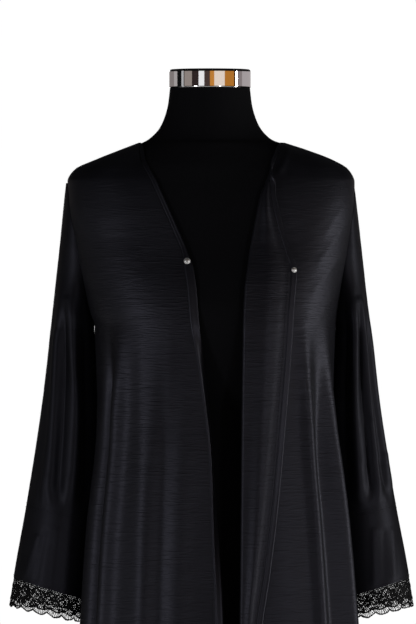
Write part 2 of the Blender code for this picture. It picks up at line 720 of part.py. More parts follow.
def sleeve(z, share, side):
    """A sleeve's ring, from the front of the armhole round the outside to its back.

    Share 0 is the front end and share 1 the back end.
    """
    reach = sleeve_ring(z, side)[3]
    return sleeve_at(z, sleeve_angles(z, side, np.asarray(share, float), reach), side)


def sleeve_at(z, angle, side):
    """Points of a sleeve's ring at angles from its outer line towards the front."""
    centre, half_width, half_depth, reach = sleeve_ring(z, side)
    lift = sleeve_swell(z, side, angle, reach)
    out_x, out_y = np.cos(angle) / half_width, np.sin(angle) / half_depth
    size = np.hypot(out_x, out_y)
    away = centre + half_width * np.cos(angle) + lift * out_x / size
    middle = SLEEVE_CENTRE_Y * smooth((SHOULDER_TIP - z) / 0.3)
    y = middle - half_depth * np.sin(angle) - lift * out_y / size
    tilt = math.tan(math.radians(float(SLEEVE_TILT(z))))
    return np.column_stack([side * away, y, z + (away - centre) * tilt])


class Sheet:
    """A cloth mid surface made of named vertices and faces, ready to be given its wall."""

    def __init__(self):
        self.points, self.normals, self.faces = [], [], []

    def grid(self, surface, rows, shares, closed_below=None):
        """Adds rows of a surface. Below closed_below the last column is the first one."""
        indices = []
        for z in rows:
            points, normals = surface_row(surface, z, shares)
            closed = closed_below is not None and z < closed_below
            if closed:
                first, last = normals[0], normals[-1]
                normals[0] = (first + last) / np.linalg.norm(first + last)
            kept = len(shares) - 1 if closed else len(shares)
            first_index = len(self.points)
            self.points.extend(points[:kept])
            self.normals.extend(normals[:kept])
            row = list(range(first_index, first_index + kept))
            indices.append(row + row[:1] if closed else row)
        for upper, lower in zip(indices, indices[1:]):
            for i in range(len(upper) - 1):
                self.quad(upper[i], upper[i + 1], lower[i + 1], lower[i])

    def quad(self, a, b, c, d):
        """Adds two triangles that meet on the shorter way across."""
        points = self.points
        if np.linalg.norm(points[a] - points[c]) <= np.linalg.norm(points[b] - points[d]):
            self.faces += [(a, b, c), (a, c, d)]
        else:
            self.faces += [(a, b, d), (b, c, d)]

    def rim(self):
        """The edges that only one face has."""
        edges = {(f[i], f[(i + 1) % 3]) for f in self.faces for i in range(3)}
        return [edge for edge in edges if edge[::-1] not in edges]

    def wall_normals(self):
        """The surface's own normals at the rim, and elsewhere those of the faces round a vertex."""
        points, given = np.array(self.points), np.array(self.normals)
        total = np.zeros_like(points)
        for a, b, c in self.faces:
            normal = np.cross(points[b] - points[a], points[c] - points[a])
            if normal @ (given[a] + given[b] + given[c]) < 0:
                normal = -normal
            total[[a, b, c]] += normal
        total /= np.linalg.norm(total, axis=1, keepdims=True)
        rim = sorted({i for edge in self.rim() for i in edge})
        total[rim] = given[rim]
        return total

    def solid(self, name, wall, material, by_faces=False):
        """Gives the sheet its wall, half on each side, and makes it an object."""
        count = len(self.points)
        points = np.array(self.points)
        normals = self.wall_normals() if by_faces else np.array(self.normals)
        shell = np.concatenate([points + normals * wall / 2, points - normals * wall / 2])
        faces = list(self.faces) + [(a + count, c + count, b + count) for a, b, c in self.faces]
        for a, b in sorted(self.rim()):
            faces.append((b, a, a + count, b + count))
        return mesh_object(name, shell, faces, material)


def surface_row(surface, z, shares):
    """A row of points on a surface and their unit normals, which face outwards."""
    shares = np.asarray(shares, float)
    points = surface(z, shares)
    across = surface(z, shares + PROBE_SHARE) - surface(z, shares - PROBE_SHARE)
    down = surface(z - PROBE_Z, shares) - surface(z + PROBE_Z, shares)
    normals = np.cross(across, down)
    normals /= np.linalg.norm(normals, axis=1, keepdims=True)
    return points, normals


def mesh_object(name, points, faces, material):
    """One object of this mesh, with its faces turned outwards."""
    mesh = bpy.data.meshes.new(name)
    mesh.from_pydata([tuple(map(float, p)) for p in points], [], faces)
    mesh.validate()
    if signed_volume(mesh) < 0:
        mesh.flip_normals()
    mesh.materials.append(material)
    mesh.shade_smooth()
    made = bpy.data.objects.new(name, mesh)
    bpy.context.scene.collection.objects.link(made)
    return made


def signed_volume(mesh):
    """The volume inside the mesh, negative where its faces point inwards."""
    mesh.calc_loop_triangles()
    total = 0.0
    for triangle in mesh.loop_triangles:
        a, b, c = (mesh.vertices[i].co for i in triangle.vertices)
        total += a.dot(b.cross(c)) / 6
    return total


def finish_material(name, colour, roughness, metallic=0.0):
    """A plain material with this colour, roughness and metallic value."""
    material = bpy.data.materials.new(name)
    material.use_nodes = True
    shader = material.node_tree.nodes["Principled BSDF"]
    shader.inputs["Base Color"].default_value = (*colour, 1.0)
    shader.inputs["Roughness"].default_value = roughness
    shader.inputs["Metallic"].default_value = metallic
    material.diffuse_color = (*colour, 1.0)
    return material


def clear_scene():
    """Removes what Blender starts with."""
    for thing in list(bpy.data.objects):
        bpy.data.objects.remove(thing)


SLEEVE_ROWS = [
    SHOULDER_TIP - 0.0028, *[z for z in PANEL_ROWS if UNDERARM < z < SHOULDER_TIP],
    UNDERARM + 0.0015, UNDERARM - 0.0040, 1.1400, 1.0800, 1.0100, 0.9550, CUFF_SEAM + SEAM / 2,
]  # fmt: skip
CUFF_ROWS = [CUFF_SEAM - SEAM / 2, 0.8850, 0.8450, SLEEVE_HEM + SEAM / 2]


class Gap(NamedTuple):
    """A gap in one repeat of the lace: its centre as shares of pitch and depth, and its size."""

    along: float
    down: float
    width: float
    height: float


LACE_GAPS = [
    Gap(0.50, 0.66, 0.0070, 0.0110),
    Gap(0.24, 0.36, 0.0056, 0.0090),
    Gap(0.76, 0.36, 0.0056, 0.0090),
]
GAP_CORNERS = 5
SCALLOP_STEPS = 4


def scallop_edge(along, pitch):
    """How deep the lace hangs at this place along its repeat."""
    return LACE_DEPTH + SCALLOP_DROP * abs(math.sin(math.pi * along / pitch)) ** SCALLOP_FULLNESS


def lace_pattern(length):
    """The flat lace of one half: its corners, and its triangles with the gaps left out."""
    pitch = length / SCALLOPS_PER_HALF
    top = [(length * i / (2 * SCALLOPS_PER_HALF), 0.0) for i in range(2 * SCALLOPS_PER_HALF + 1)]
    steps = SCALLOPS_PER_HALF * SCALLOP_STEPS
    bottom = [(length * i / steps, scallop_edge(length * i / steps, pitch)) for i in range(steps, -1, -1)]
    corners = top + bottom
    loops = [list(range(len(corners)))]
    for repeat in range(SCALLOPS_PER_HALF):
        for gap in LACE_GAPS:
            middle = ((repeat + gap.along) * pitch, gap.down * LACE_DEPTH)
            loops.append(list(range(len(corners), len(corners) + GAP_CORNERS)))
            for i in range(GAP_CORNERS):
                angle = 2 * math.pi * (i + 0.25) / GAP_CORNERS
                along = middle[0] - gap.width / 2 * math.sin(angle)
                corners.append((along, middle[1] + gap.height / 2 * math.cos(angle)))
    made = delaunay_2d_cdt([Vector(corner) for corner in corners], [], loops, 1, 1e-7)
    kept = [face for face, origin in zip(made[2], made[5]) if list(origin) == [0]]
    return [tuple(corner) for corner in made[0]], kept


def lace(name, side, first_turn, material):
    """Half of a cuff's lace, from the first turn of its ring, 0 to 1, to half a ring on."""
    turns = np.linspace(first_turn, first_turn + 0.5, 49)

    def surface(z, turn):
        return sleeve_at(z, math.pi * (1 - 2 * np.asarray(turn)), side)

    lengths = np.linalg.norm(np.diff(surface(SLEEVE_HEM, turns), axis=0), axis=1)
    run = np.concatenate([[0.0], np.cumsum(lengths)])
    length = run[-1] - SEAM
    corners, triangles = lace_pattern(length)
    made = Sheet()
    for along, down in corners:
        turn = float(np.interp(SEAM / 2 + along, run, turns))
        points, normals = surface_row(surface, SLEEVE_HEM - SEAM / 2 - down, [turn])
        made.points.append(points[0])
        made.normals.append(normals[0])
    made.faces = [tuple(face) for face in triangles]
    return made.solid(name, LACE_WALL, material)


def sleeve_piece(name, side, rows, material):
    """A length of a sleeve's tube, open at the armhole where it reaches that far up."""
    made = Sheet()
    shares = np.linspace(0.0, 1.0, sum(SLEEVE_COLUMNS[side]) + 1)
    made.grid(lambda z, share: sleeve(z, share, side), rows, shares, closed_below=UNDERARM)
    return made.solid(name, WALL, material, by_faces=True)


def panel_piece(name, surface, columns, rows, wall, material):
    """A panel or band of the body cloth."""
    made = Sheet()
    made.grid(surface, rows, np.linspace(0.0, 1.0, columns + 1))
    return made.solid(name, wall, material, by_faces=len(rows) > 2 and wall == WALL)


YOKE_ROWS = [1.4480, 1.4370, 1.4270, 1.4165, 1.4080, 1.4000, 1.3920, 1.3780]
QUARTERS = [(RIGHT, FRONT, True), (RIGHT, BACK, False), (LEFT, BACK, True), (LEFT, FRONT, False)]


def round_ring(quarter_points):
    """A whole ring from its four quarters, starting at the centre front."""
    steps = np.arange(FORM_COLUMNS_PER_QUARTER) / FORM_COLUMNS_PER_QUARTER
    ring = []
    for side, half, outwards in QUARTERS:
        ring.append(quarter_points(side, half, denser_outside(steps if outwards else 1 - steps)))
    return np.concatenate(ring)


def form_ring(section):
    """The dress form's ring at one of its own sections."""

    def points_of(side, half, shares):
        depth = section.front if half == FRONT else section.back
        points, _, run = quarter(section.z, side, half, section.half, depth, section.square)
        at = np.stack([np.interp(shares * run[-1], run, points[:, i]) for i in (0, 1)], 1)
        return np.column_stack([at, np.full(len(at), section.z)])

    return round_ring(points_of)


def yoke_ring(z):
    """The dress form's ring just inside the cloth that lies on its shoulders."""
    inset = SEAT + CHEST_INSET * float(smooth((1.420 - z) / 0.03))

    def points_of(side, half, shares):
        def surface(height, share):
            share = 1 - np.abs(1 - np.abs(share))
            run = share * quarter_length(height, side, half)
            return ring_points(height, side, half, run, np.zeros(len(share)))

        inner = np.clip(shares, PROBE_SHARE, 1 - PROBE_SHARE)
        points = surface(z, shares)
        _, normals = surface_row(surface, z, inner)
        normals[shares >= 1, 1] = 0.0
        normals[shares <= 0, 0] = 0.0
        normals /= np.linalg.norm(normals, axis=1, keepdims=True)
        away = np.sign((normals[:, :2] * points[:, :2]).sum(1))[:, None]
        return points - normals * away * inset

    return round_ring(points_of)


def dress_form(material):
    """The limbless form, one closed solid from its neck to its flat underside."""
    rings = [form_ring(section) for section in FORM_SECTIONS]
    rings += [yoke_ring(z) for z in YOKE_ROWS]
    rings += [form_ring(section) for section in FORM_BODY_SECTIONS]
    count = len(rings[0])
    faces = [tuple(range(count)), tuple(reversed(range(count * (len(rings) - 1), count * len(rings))))]
    for row in range(len(rings) - 1):
        for i in range(count):
            a, b = row * count + i, row * count + (i + 1) % count
            faces.append((b, a, a + count, b + count))
    return mesh_object("form_torso", np.concatenate(rings), faces, material)


def turned(name, profile, steps, material):
    """A solid of revolution about Z, flat at both ends, from a profile of radius and height."""
    points = []
    for radius, height in profile:
        for i in range(steps):
            angle = 2 * math.pi * i / steps
            points.append((radius * math.cos(angle), radius * math.sin(angle), height))
    faces = [tuple(range(steps))]
    for row in range(len(profile) - 1):
        for i in range(steps):
            a, b = row * steps + i, row * steps + (i + 1) % steps
            faces.append((b, a, a + steps, b + steps))
    faces.append(tuple((len(profile) - 1) * steps + i for i in reversed(range(steps))))
    return mesh_object(name, points, faces, material)


def rounded_corner(radius, height, corner, steps=3):
    """The profile of a quarter-round corner that starts at this radius and height."""
    made = []
    for i in range(steps + 1):
        angle = math.pi / 2 * i / steps
        made.append((radius - corner + corner * math.cos(angle), height + corner * math.sin(angle)))
    return made


def snap(name, surface, z, share, wall, material):
    """A snap's stud, on the side of the cloth that the viewer sees."""
    points, normals = surface_row(surface, z, [share])
    outward = Vector(normals[0]) if normals[0][1] < 0 else -Vector(normals[0])
    profile = [(SNAP_RADIUS, 0.0), (SNAP_RADIUS, SNAP_THICKNESS * 0.35),
               (SNAP_RADIUS * 0.72, SNAP_THICKNESS * 0.6), (SNAP_RADIUS * 0.5, SNAP_THICKNESS)]  # fmt: skip
    made = turned(name, profile, 12, material)
    made.rotation_mode = "QUATERNION"
    made.rotation_quaternion = outward.to_track_quat("Z", "Y")
    made.location = Vector(points[0]) + outward * (wall / 2 + SEAM)
    return made


def stand():
    """The neck cap, the pole and the base."""
    cap = [(CAP_RADIUS - 0.001, CAP_BOTTOM), (CAP_RADIUS, CAP_BOTTOM + 0.001)]
    cap += rounded_corner(CAP_RADIUS, CAP_TOP - CAP_ROUND, CAP_ROUND)
    turned("neck_cap", cap, 40, finish_material("chrome_neck_cap", (0.62, 0.62, 0.63), 0.12, 1.0))
    pole = [(POLE_RADIUS, BASE_HUB_TOP + SEAM), (POLE_RADIUS, FORM_BOTTOM - SEAM)]
    turned("stand_pole", pole, 24, finish_material("stand_pole_metal", (0.35, 0.35, 0.36), 0.25, 1.0))
    base = [(BASE_RADIUS, 0.0), (BASE_RADIUS, BASE_EDGE - 0.002),
            (BASE_RADIUS - 0.002, BASE_EDGE), (BASE_HUB_RADIUS + 0.010, BASE_EDGE + 0.004),
            (BASE_HUB_RADIUS, BASE_EDGE + 0.007), (BASE_HUB_RADIUS - 0.008, BASE_HUB_TOP)]  # fmt: skip
    turned("stand_base", base, 40, finish_material("stand_base_metal", (0.30, 0.30, 0.31), 0.35, 1.0))


def cloth(name):
    """The black satin crepe of one piece."""
    return finish_material(name + "_cloth", (0.0085, 0.0085, 0.0100), 0.55)


def garment():
    """Every piece of the abaya."""
    panel_piece("back_panel", back_panel, 20, PANEL_ROWS, WALL, cloth("back_panel"))
    panel_piece("right_front", right_front, 14, PANEL_ROWS, WALL, cloth("right_front"))
    left_columns = PANEL_COLUMNS + ROLL_COLUMNS + LAPEL_COLUMNS
    panel_piece("left_front", left_front, left_columns, PANEL_ROWS, WALL, cloth("left_front"))
    panel_piece("right_front_band", right_band, 3, PANEL_ROWS, BAND_WALL, cloth("right_front_band"))
    panel_piece("left_front_band", left_band, 2, PANEL_ROWS, BAND_WALL, cloth("left_front_band"))
    neck_rows = [NECK_SEAM + SEAM, NECK_TOP]
    panel_piece("neck_band", neck_band, 36, neck_rows, WALL, cloth("neck_band"))
    for side, word in ((RIGHT, "right"), (LEFT, "left")):
        sleeve_piece(f"{word}_sleeve", side, SLEEVE_ROWS, cloth(f"{word}_sleeve"))
        sleeve_piece(f"{word}_cuff", side, CUFF_ROWS, cloth(f"{word}_cuff"))
        lace(f"{word}_lace_front", side, 0.0, cloth(f"{word}_lace_front"))
        lace(f"{word}_lace_back", side, 0.5, cloth(f"{word}_lace_back"))
    silver = (0.72, 0.72, 0.72)
    right_metal = finish_material("right_snap_metal", silver, 0.25, 1.0)
    left_metal = finish_material("left_snap_metal", silver, 0.25, 1.0)
    snap("right_snap", right_band, RIGHT_SNAP_HEIGHT, 0.45, BAND_WALL, right_metal)
    snap("left_snap", left_band, LEFT_SNAP_HEIGHT, 0.50, BAND_WALL, left_metal)


def main():
    """Builds the garment, the dress form and the stand."""
    clear_scene()
    garment()
    dress_form(finish_material("form_black", (0.004, 0.004, 0.006), 0.35))
    stand()


main()
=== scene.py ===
"""An open-front abaya on a limbless dress form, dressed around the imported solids.

Metres, +Z up, the garment's front towards -Y. Right and left are the wearer's
own, so the right front and right sleeve are at -X. The body cloth is one family
of horizontal rings with folds, and panels, bands and neckline are cut from it.
"""

from __future__ import annotations

import logging
import math
from collections.abc import Callable, Sequence
from dataclasses import dataclass
from enum import Enum
from typing import Any, ClassVar, NamedTuple

import bpy
import numpy as np
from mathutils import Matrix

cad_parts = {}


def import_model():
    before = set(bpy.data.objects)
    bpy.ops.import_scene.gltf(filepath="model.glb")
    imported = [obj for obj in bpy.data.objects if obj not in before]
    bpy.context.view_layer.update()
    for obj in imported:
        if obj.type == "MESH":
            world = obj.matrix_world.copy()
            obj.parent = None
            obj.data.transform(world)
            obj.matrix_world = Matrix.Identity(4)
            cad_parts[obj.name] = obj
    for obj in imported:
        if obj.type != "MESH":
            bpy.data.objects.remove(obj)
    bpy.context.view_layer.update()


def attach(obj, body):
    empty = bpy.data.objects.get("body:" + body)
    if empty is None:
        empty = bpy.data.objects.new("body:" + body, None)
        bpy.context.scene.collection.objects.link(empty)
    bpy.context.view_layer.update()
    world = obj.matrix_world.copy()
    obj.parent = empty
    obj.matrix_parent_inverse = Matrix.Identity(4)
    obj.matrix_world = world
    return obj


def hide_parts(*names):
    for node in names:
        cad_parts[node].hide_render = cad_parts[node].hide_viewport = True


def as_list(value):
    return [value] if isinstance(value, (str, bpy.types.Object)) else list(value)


LOG = logging.getLogger("abaya")
BODY = "root"

# Heights of the garment's lines
NECK_TOP = 1.4480
NECK_SEAM = 1.4435
SHOULDER_TIP = 1.3920
UNDERARM = 1.1810
LOW = 0.7410
HEM = 0.0500
V_POINT = 1.2750
CUFF_SEAM = 0.9065
SLEEVE_HEM = 0.7940

# Cloth walls and the gaps at seams
WALL = 0.0015
BAND_WALL = 0.0022
SEAM = 0.0003
ARMHOLE_SEAM = 0.0009
ARMHOLE_DEPTH = 0.0400

# A place or a size on a plane
Spot = tuple[float, float]


def table(kind: Callable[..., Any], *rows: tuple) -> tuple[Any, ...]:
    """One record of a kind for each row of its values."""
    return tuple(kind(*row) for row in rows)


class Side(Enum):
    """The wearer's right, at -X, or left, at +X."""

    RIGHT = -1
    LEFT = 1

    @property
    def word(self) -> str:
        """The side's name as the nodes spell it."""
        return self.name.lower()


class Half(Enum):
    """The front half of a ring, at -Y, or the back half."""

    FRONT = -1
    BACK = 1


class BodySection(NamedTuple):
    """One horizontal ring of the body cloth, at its wall's mid surface."""

    z: float
    right: float
    left: float
    front: float
    back: float
    square: float


BODY_SECTIONS = table(
    BodySection,
    (1.4480, 0.1050, 0.1100, 0.0755, 0.0820, 2.00),
    (1.4380, 0.1310, 0.1410, 0.0800, 0.0865, 2.00),
    (1.4235, 0.1676, 0.1790, 0.0865, 0.0910, 2.05),
    (1.4090, 0.1985, 0.2030, 0.0925, 0.0970, 2.15),
    (1.3920, 0.2087, 0.2117, 0.0985, 0.1020, 2.30),
    (1.3600, 0.2090, 0.2140, 0.1070, 0.1090, 2.45),
    (1.3000, 0.1995, 0.2060, 0.1200, 0.1140, 2.60),
    (1.2400, 0.1855, 0.1935, 0.1370, 0.1170, 2.65),
    (1.2000, 0.1755, 0.1865, 0.1440, 0.1180, 2.70),
    (1.1810, 0.1690, 0.1845, 0.1460, 0.1180, 2.70),
    (1.0400, 0.1680, 0.1870, 0.1510, 0.1220, 2.80),
    (0.8650, 0.1820, 0.2020, 0.1570, 0.1300, 2.90),
    (0.7410, 0.1900, 0.2120, 0.1620, 0.1370, 2.90),
    (0.4000, 0.2150, 0.2350, 0.1780, 0.1600, 2.80),
    (0.0500, 0.2400, 0.2550, 0.1950, 0.1820, 2.60),
)


class Fold(NamedTuple):
    """A ridge down the body cloth, or a trough where its height is negative.

    Shares are parts of the way from the centre line to the side line: at the
    fold's start, at LOW and at the hem.
    """

    side: Side
    half: Half
    start_share: float
    low_share: float
    hem_share: float
    start: float
    rise: float
    height: float
    hem_height: float
    spread: float


R, L, F, B = Side.RIGHT, Side.LEFT, Half.FRONT, Half.BACK
FOLDS = table(
    Fold,
    (R, F, 0.16, 0.17, 0.20, 1.17, 0.30, 0.0030, 0.0100, 0.020),
    (R, F, 0.24, 0.25, 0.30, 1.17, 0.25, -0.0040, -0.0100, 0.016),
    (R, F, 0.33, 0.34, 0.40, 1.20, 0.25, 0.0060, 0.0140, 0.024),
    (R, F, 0.53, 0.56, 0.60, 1.20, 0.16, 0.0110, 0.0150, 0.014),
    (R, F, 0.61, 0.63, 0.68, 1.20, 0.16, -0.0150, -0.0150, 0.010),
    (R, F, 0.74, 0.74, 0.78, 1.17, 0.30, 0.0080, 0.0120, 0.020),
    (L, F, 0.40, 0.40, 0.36, 1.10, 0.40, 0.0020, 0.0100, 0.030),
    (L, F, 0.52, 0.53, 0.50, 1.22, 0.22, 0.0110, 0.0160, 0.012),
    (L, F, 0.60, 0.62, 0.60, 1.20, 0.25, -0.0120, -0.0150, 0.015),
    (L, F, 0.69, 0.74, 0.74, 1.22, 0.30, 0.0170, 0.0180, 0.013),
    (R, F, 1.00, 1.00, 1.00, 1.20, 0.34, -0.0180, -0.0120, 0.046),
    (R, B, 1.00, 1.00, 1.00, 1.20, 0.34, -0.0180, -0.0120, 0.046),
    (L, F, 1.00, 1.00, 1.00, 1.20, 0.34, -0.0370, -0.0160, 0.046),
    (L, B, 1.00, 1.00, 1.00, 1.20, 0.34, -0.0370, -0.0160, 0.046),
    (R, B, 0.70, 0.72, 0.74, 1.20, 0.30, 0.0110, 0.0180, 0.016),
    (R, B, 0.58, 0.59, 0.61, 1.20, 0.30, -0.0100, -0.0150, 0.015),
    (R, B, 0.42, 0.43, 0.46, 1.15, 0.35, 0.0080, 0.0150, 0.020),
    (R, B, 0.24, 0.25, 0.28, 1.15, 0.35, -0.0060, -0.0130, 0.020),
    (R, B, 0.00, 0.02, 0.05, 1.10, 0.40, 0.0060, 0.0140, 0.026),
    (L, B, 0.00, -0.02, -0.05, 1.10, 0.40, 0.0060, 0.0140, 0.026),
    (L, B, 0.23, 0.22, 0.20, 1.12, 0.35, -0.0060, -0.0120, 0.020),
    (L, B, 0.38, 0.38, 0.37, 1.16, 0.35, 0.0090, 0.0160, 0.018),
    (L, B, 0.55, 0.56, 0.55, 1.20, 0.30, -0.0110, -0.0150, 0.016),
    (L, B, 0.69, 0.71, 0.71, 1.22, 0.30, 0.0130, 0.0180, 0.016),
)


class EdgeStation(NamedTuple):
    """The right front's band at one height: where its seam lies and how far it turns in."""

    z: float
    seam_x: float
    turn: float


RIGHT_EDGE = table(
    EdgeStation,
    (1.4480, -0.1035, 0.0),
    (1.4260, -0.1015, 0.0),
    (1.3930, -0.0860, 0.0),
    (1.3550, -0.0690, 0.0),
    (1.3210, -0.0540, 0.0),
    (1.2840, -0.0395, 0.0),
    (1.2650, -0.0370, 2.0),
    (1.2390, -0.0330, 6.0),
    (1.1880, -0.0284, 12.0),
    (1.1350, -0.0190, 48.0),
    (1.0670, -0.0095, 66.0),
    (0.9940, -0.0015, 78.0),
    (0.9300, 0.0012, 68.0),
    (0.8710, 0.0032, 48.0),
    (0.7670, 0.0073, 26.0),
    (0.4500, 0.0120, 12.0),
    (0.0500, 0.0160, 6.0),
)


class LapelStation(NamedTuple):
    """The left front at one height: its turn line, how far it turns and the cloth past that line."""

    z: float
    turn_x: float
    turn: float
    past: float


LEFT_EDGE = table(
    LapelStation,
    (1.4480, 0.1055, 0.0, 0.0076),
    (1.4250, 0.0975, 0.0, 0.0080),
    (1.4050, 0.0900, 100.0, 0.0120),
    (1.3870, 0.0835, 180.0, 0.0220),
    (1.3720, 0.0770, 180.0, 0.0290),
    (1.3280, 0.0679, 180.0, 0.0476),
    (1.2880, 0.0605, 180.0, 0.0670),
    (1.2620, 0.0570, 180.0, 0.0790),
    (1.2380, 0.0541, 180.0, 0.0809),
    (1.1920, 0.0515, 180.0, 0.0799),
    (1.0120, 0.0491, 180.0, 0.0680),
    (0.9080, 0.0483, 180.0, 0.0591),
    (0.8190, 0.0475, 180.0, 0.0492),
    (0.7470, 0.0465, 180.0, 0.0399),
    (0.6200, 0.0465, 180.0, 0.0330),
    (0.5000, 0.0480, 180.0, 0.0300),
    (0.0500, 0.0540, 180.0, 0.0290),
)


class SleeveStation(NamedTuple):
    """One ring of a sleeve: how far its outer and inner lines stand from the centre plane."""

    z: float
    right_outer: float
    left_outer: float
    right_inner: float
    left_inner: float
    half_depth: float


SLEEVE_STATIONS = table(
    SleeveStation,
    (1.3920, 0.2105, 0.2105, 0.2087, 0.2117, 0.0440),
    (1.3650, 0.2135, 0.2140, 0.2060, 0.2110, 0.0440),
    (1.2900, 0.2210, 0.2225, 0.1960, 0.2020, 0.0440),
    (1.2180, 0.2290, 0.2305, 0.1800, 0.1900, 0.0440),
    (1.1810, 0.2330, 0.2345, 0.1713, 0.1866, 0.0440),
    (1.0700, 0.2455, 0.2470, 0.1674, 0.1818, 0.0470),
    (0.9090, 0.2690, 0.2725, 0.1724, 0.1825, 0.0520),
    (0.7975, 0.2877, 0.2920, 0.1805, 0.1845, 0.0560),
    (0.7600, 0.2930, 0.2970, 0.1835, 0.1865, 0.0570),
)


class SleeveFold(NamedTuple):
    """A ridge or trough down a sleeve, by its angle from the outer line towards the front."""

    side: Side
    top_angle: float
    low_angle: float
    height: float
    spread: float


SLEEVE_FOLDS = table(
    SleeveFold,
    (R, 42.0, 62.0, 0.0050, 11.0),
    (R, 62.0, 84.0, -0.0060, 10.0),
    (R, 84.0, 108.0, 0.0050, 11.0),
    (R, 118.0, 136.0, -0.0060, 14.0),
    (R, -60.0, -50.0, 0.0050, 14.0),
    (R, -88.0, -84.0, -0.0050, 13.0),
    (R, -115.0, -118.0, 0.0050, 14.0),
    (L, 20.0, 24.0, 0.0040, 9.0),
    (L, 34.0, 40.0, -0.0045, 8.0),
    (L, 48.0, 58.0, 0.0050, 9.0),
    (L, 64.0, 76.0, -0.0045, 8.0),
    (L, 82.0, 96.0, 0.0060, 10.0),
    (L, 116.0, 130.0, -0.0070, 15.0),
    (L, -58.0, -48.0, 0.0050, 14.0),
    (L, -90.0, -84.0, -0.0050, 13.0),
    (L, -118.0, -120.0, 0.0050, 14.0),
)


class FormSection(NamedTuple):
    """One horizontal ring of the dress form."""

    z: float
    half: float
    front: float
    back: float
    square: float


FORM_NECK = table(
    FormSection,
    (1.5290, 0.0588, 0.0588, 0.0588, 2.00),
    (1.5050, 0.0617, 0.0600, 0.0608, 2.00),
    (1.4860, 0.0668, 0.0616, 0.0637, 2.00),
    (1.4690, 0.0750, 0.0642, 0.0677, 2.00),
    (1.4530, 0.0915, 0.0690, 0.0740, 2.00),
)
FORM_YOKE = [1.4480, 1.4370, 1.4270, 1.4165, 1.4080, 1.4000, 1.3920, 1.3780]
FORM_TRUNK = table(
    FormSection,
    (1.3600, 0.2040, 0.1020, 0.1035, 2.35),
    (1.3000, 0.1850, 0.1140, 0.1080, 2.25),
    (1.2400, 0.1640, 0.1310, 0.1100, 2.20),
    (1.2000, 0.1550, 0.1380, 0.1100, 2.20),
    (1.1000, 0.1350, 0.1150, 0.0970, 2.10),
    (1.0500, 0.1260, 0.1000, 0.0910, 2.10),
    (0.9800, 0.1340, 0.1010, 0.1000, 2.15),
    (0.8700, 0.1540, 0.1080, 0.1170, 2.20),
    (0.7400, 0.1520, 0.1020, 0.1090, 2.20),
    (0.6980, 0.1440, 0.0960, 0.1020, 2.20),
    (0.6900, 0.1340, 0.0880, 0.0940, 2.20),
)


def smooth(t: Any) -> Any:
    """Gives 0 below 0, 1 above 1 and an even ease between them."""
    t = np.clip(t, 0.0, 1.0)
    return t * t * (3 - 2 * t)


def unit(vectors: Any) -> Any:
    """The vectors at length 1."""
    return vectors / np.linalg.norm(vectors, axis=-1, keepdims=True)


def runs(points: np.ndarray) -> np.ndarray:
    """The lengths run to each point along a row, or along each of several rows."""
    steps = np.linalg.norm(np.diff(points, axis=-2), axis=-1)
    return np.concatenate([np.zeros((*steps.shape[:-1], 1)), np.cumsum(steps, axis=-1)], axis=-1)


def hump(off: Any, spread: float) -> Any:
    """A smooth bump of height 1 round 0."""
    return np.exp(-((off / spread) ** 2))


class Line:
    """A smooth line through a few stations, which never swings past them."""

    def __init__(self, at: Sequence[float], value: Any) -> None:
        """Sorts the stations and finds the line's slope at each.

        Args:
            at: where the stations lie.
            value: a number or an array for each station.
        """
        order = np.argsort(at)
        self.at = np.asarray(at, float)[order]
        self.value = np.asarray(value, float)[order]
        step = np.diff(self.at).reshape(-1, *[1] * (self.value.ndim - 1))
        rise = np.diff(self.value, axis=0) / step
        before, after = rise[:-1], rise[1:]
        total = np.where(before * after > 0, before + after, 1.0)
        inner = np.where(before * after > 0, 2 * before * after / total, 0.0)
        self.slope = np.concatenate([rise[:1], inner, rise[-1:]])

    def __call__(self, where: Any) -> Any:
        """The line's value at a place, or at each of several."""
        where = np.clip(where, self.at[0], self.at[-1])
        low = np.clip(np.searchsorted(self.at, where) - 1, 0, len(self.at) - 2)
        step = self.at[low + 1] - self.at[low]
        t = (where - self.at[low]) / step
        return (
            (1 + 2 * t) * (1 - t) ** 2 * self.value[low]
            + t * (1 - t) ** 2 * step * self.slope[low]
            + t * t * (3 - 2 * t) * self.value[low + 1]
            + t * t * (t - 1) * step * self.slope[low + 1]
        )


def column(rows: Sequence[Any], name: str) -> Line:
    """The line that one column of a table makes over its heights."""
    return Line([row.z for row in rows], [getattr(row, name) for row in rows])


class Wrinkles:
    """Seeded noise on a plane, stretched into long low ripples, from -1 to 1."""

    def __init__(self, seed: int, long_m: float, short_m: float) -> None:
        """Draws the lattice.

        Args:
            seed: fixes the random numbers.
            long_m: a ripple's length along the cloth's width, in metres.
            short_m: its width down the cloth.
        """
        self.cell = (long_m, short_m)
        self.lattice = np.random.default_rng(seed).uniform(-1, 1, (64, 512))

    def __call__(self, across: Any, down: Any) -> Any:
        """The noise at places given in metres across and down the cloth."""
        a, d = np.broadcast_arrays(across / self.cell[0], down / self.cell[1])
        i, j = np.floor(a).astype(int), np.floor(d).astype(int)
        u, v = smooth(a - i), smooth(d - j)
        rows, cols = self.lattice.shape

        def corner(di: int, dj: int) -> Any:
            return self.lattice[(i + di) % rows, (j + dj) % cols]

        near = corner(0, 0) * (1 - u) + corner(1, 0) * u
        far = corner(0, 1) * (1 - u) + corner(1, 1) * u
        return near * (1 - v) + far * v


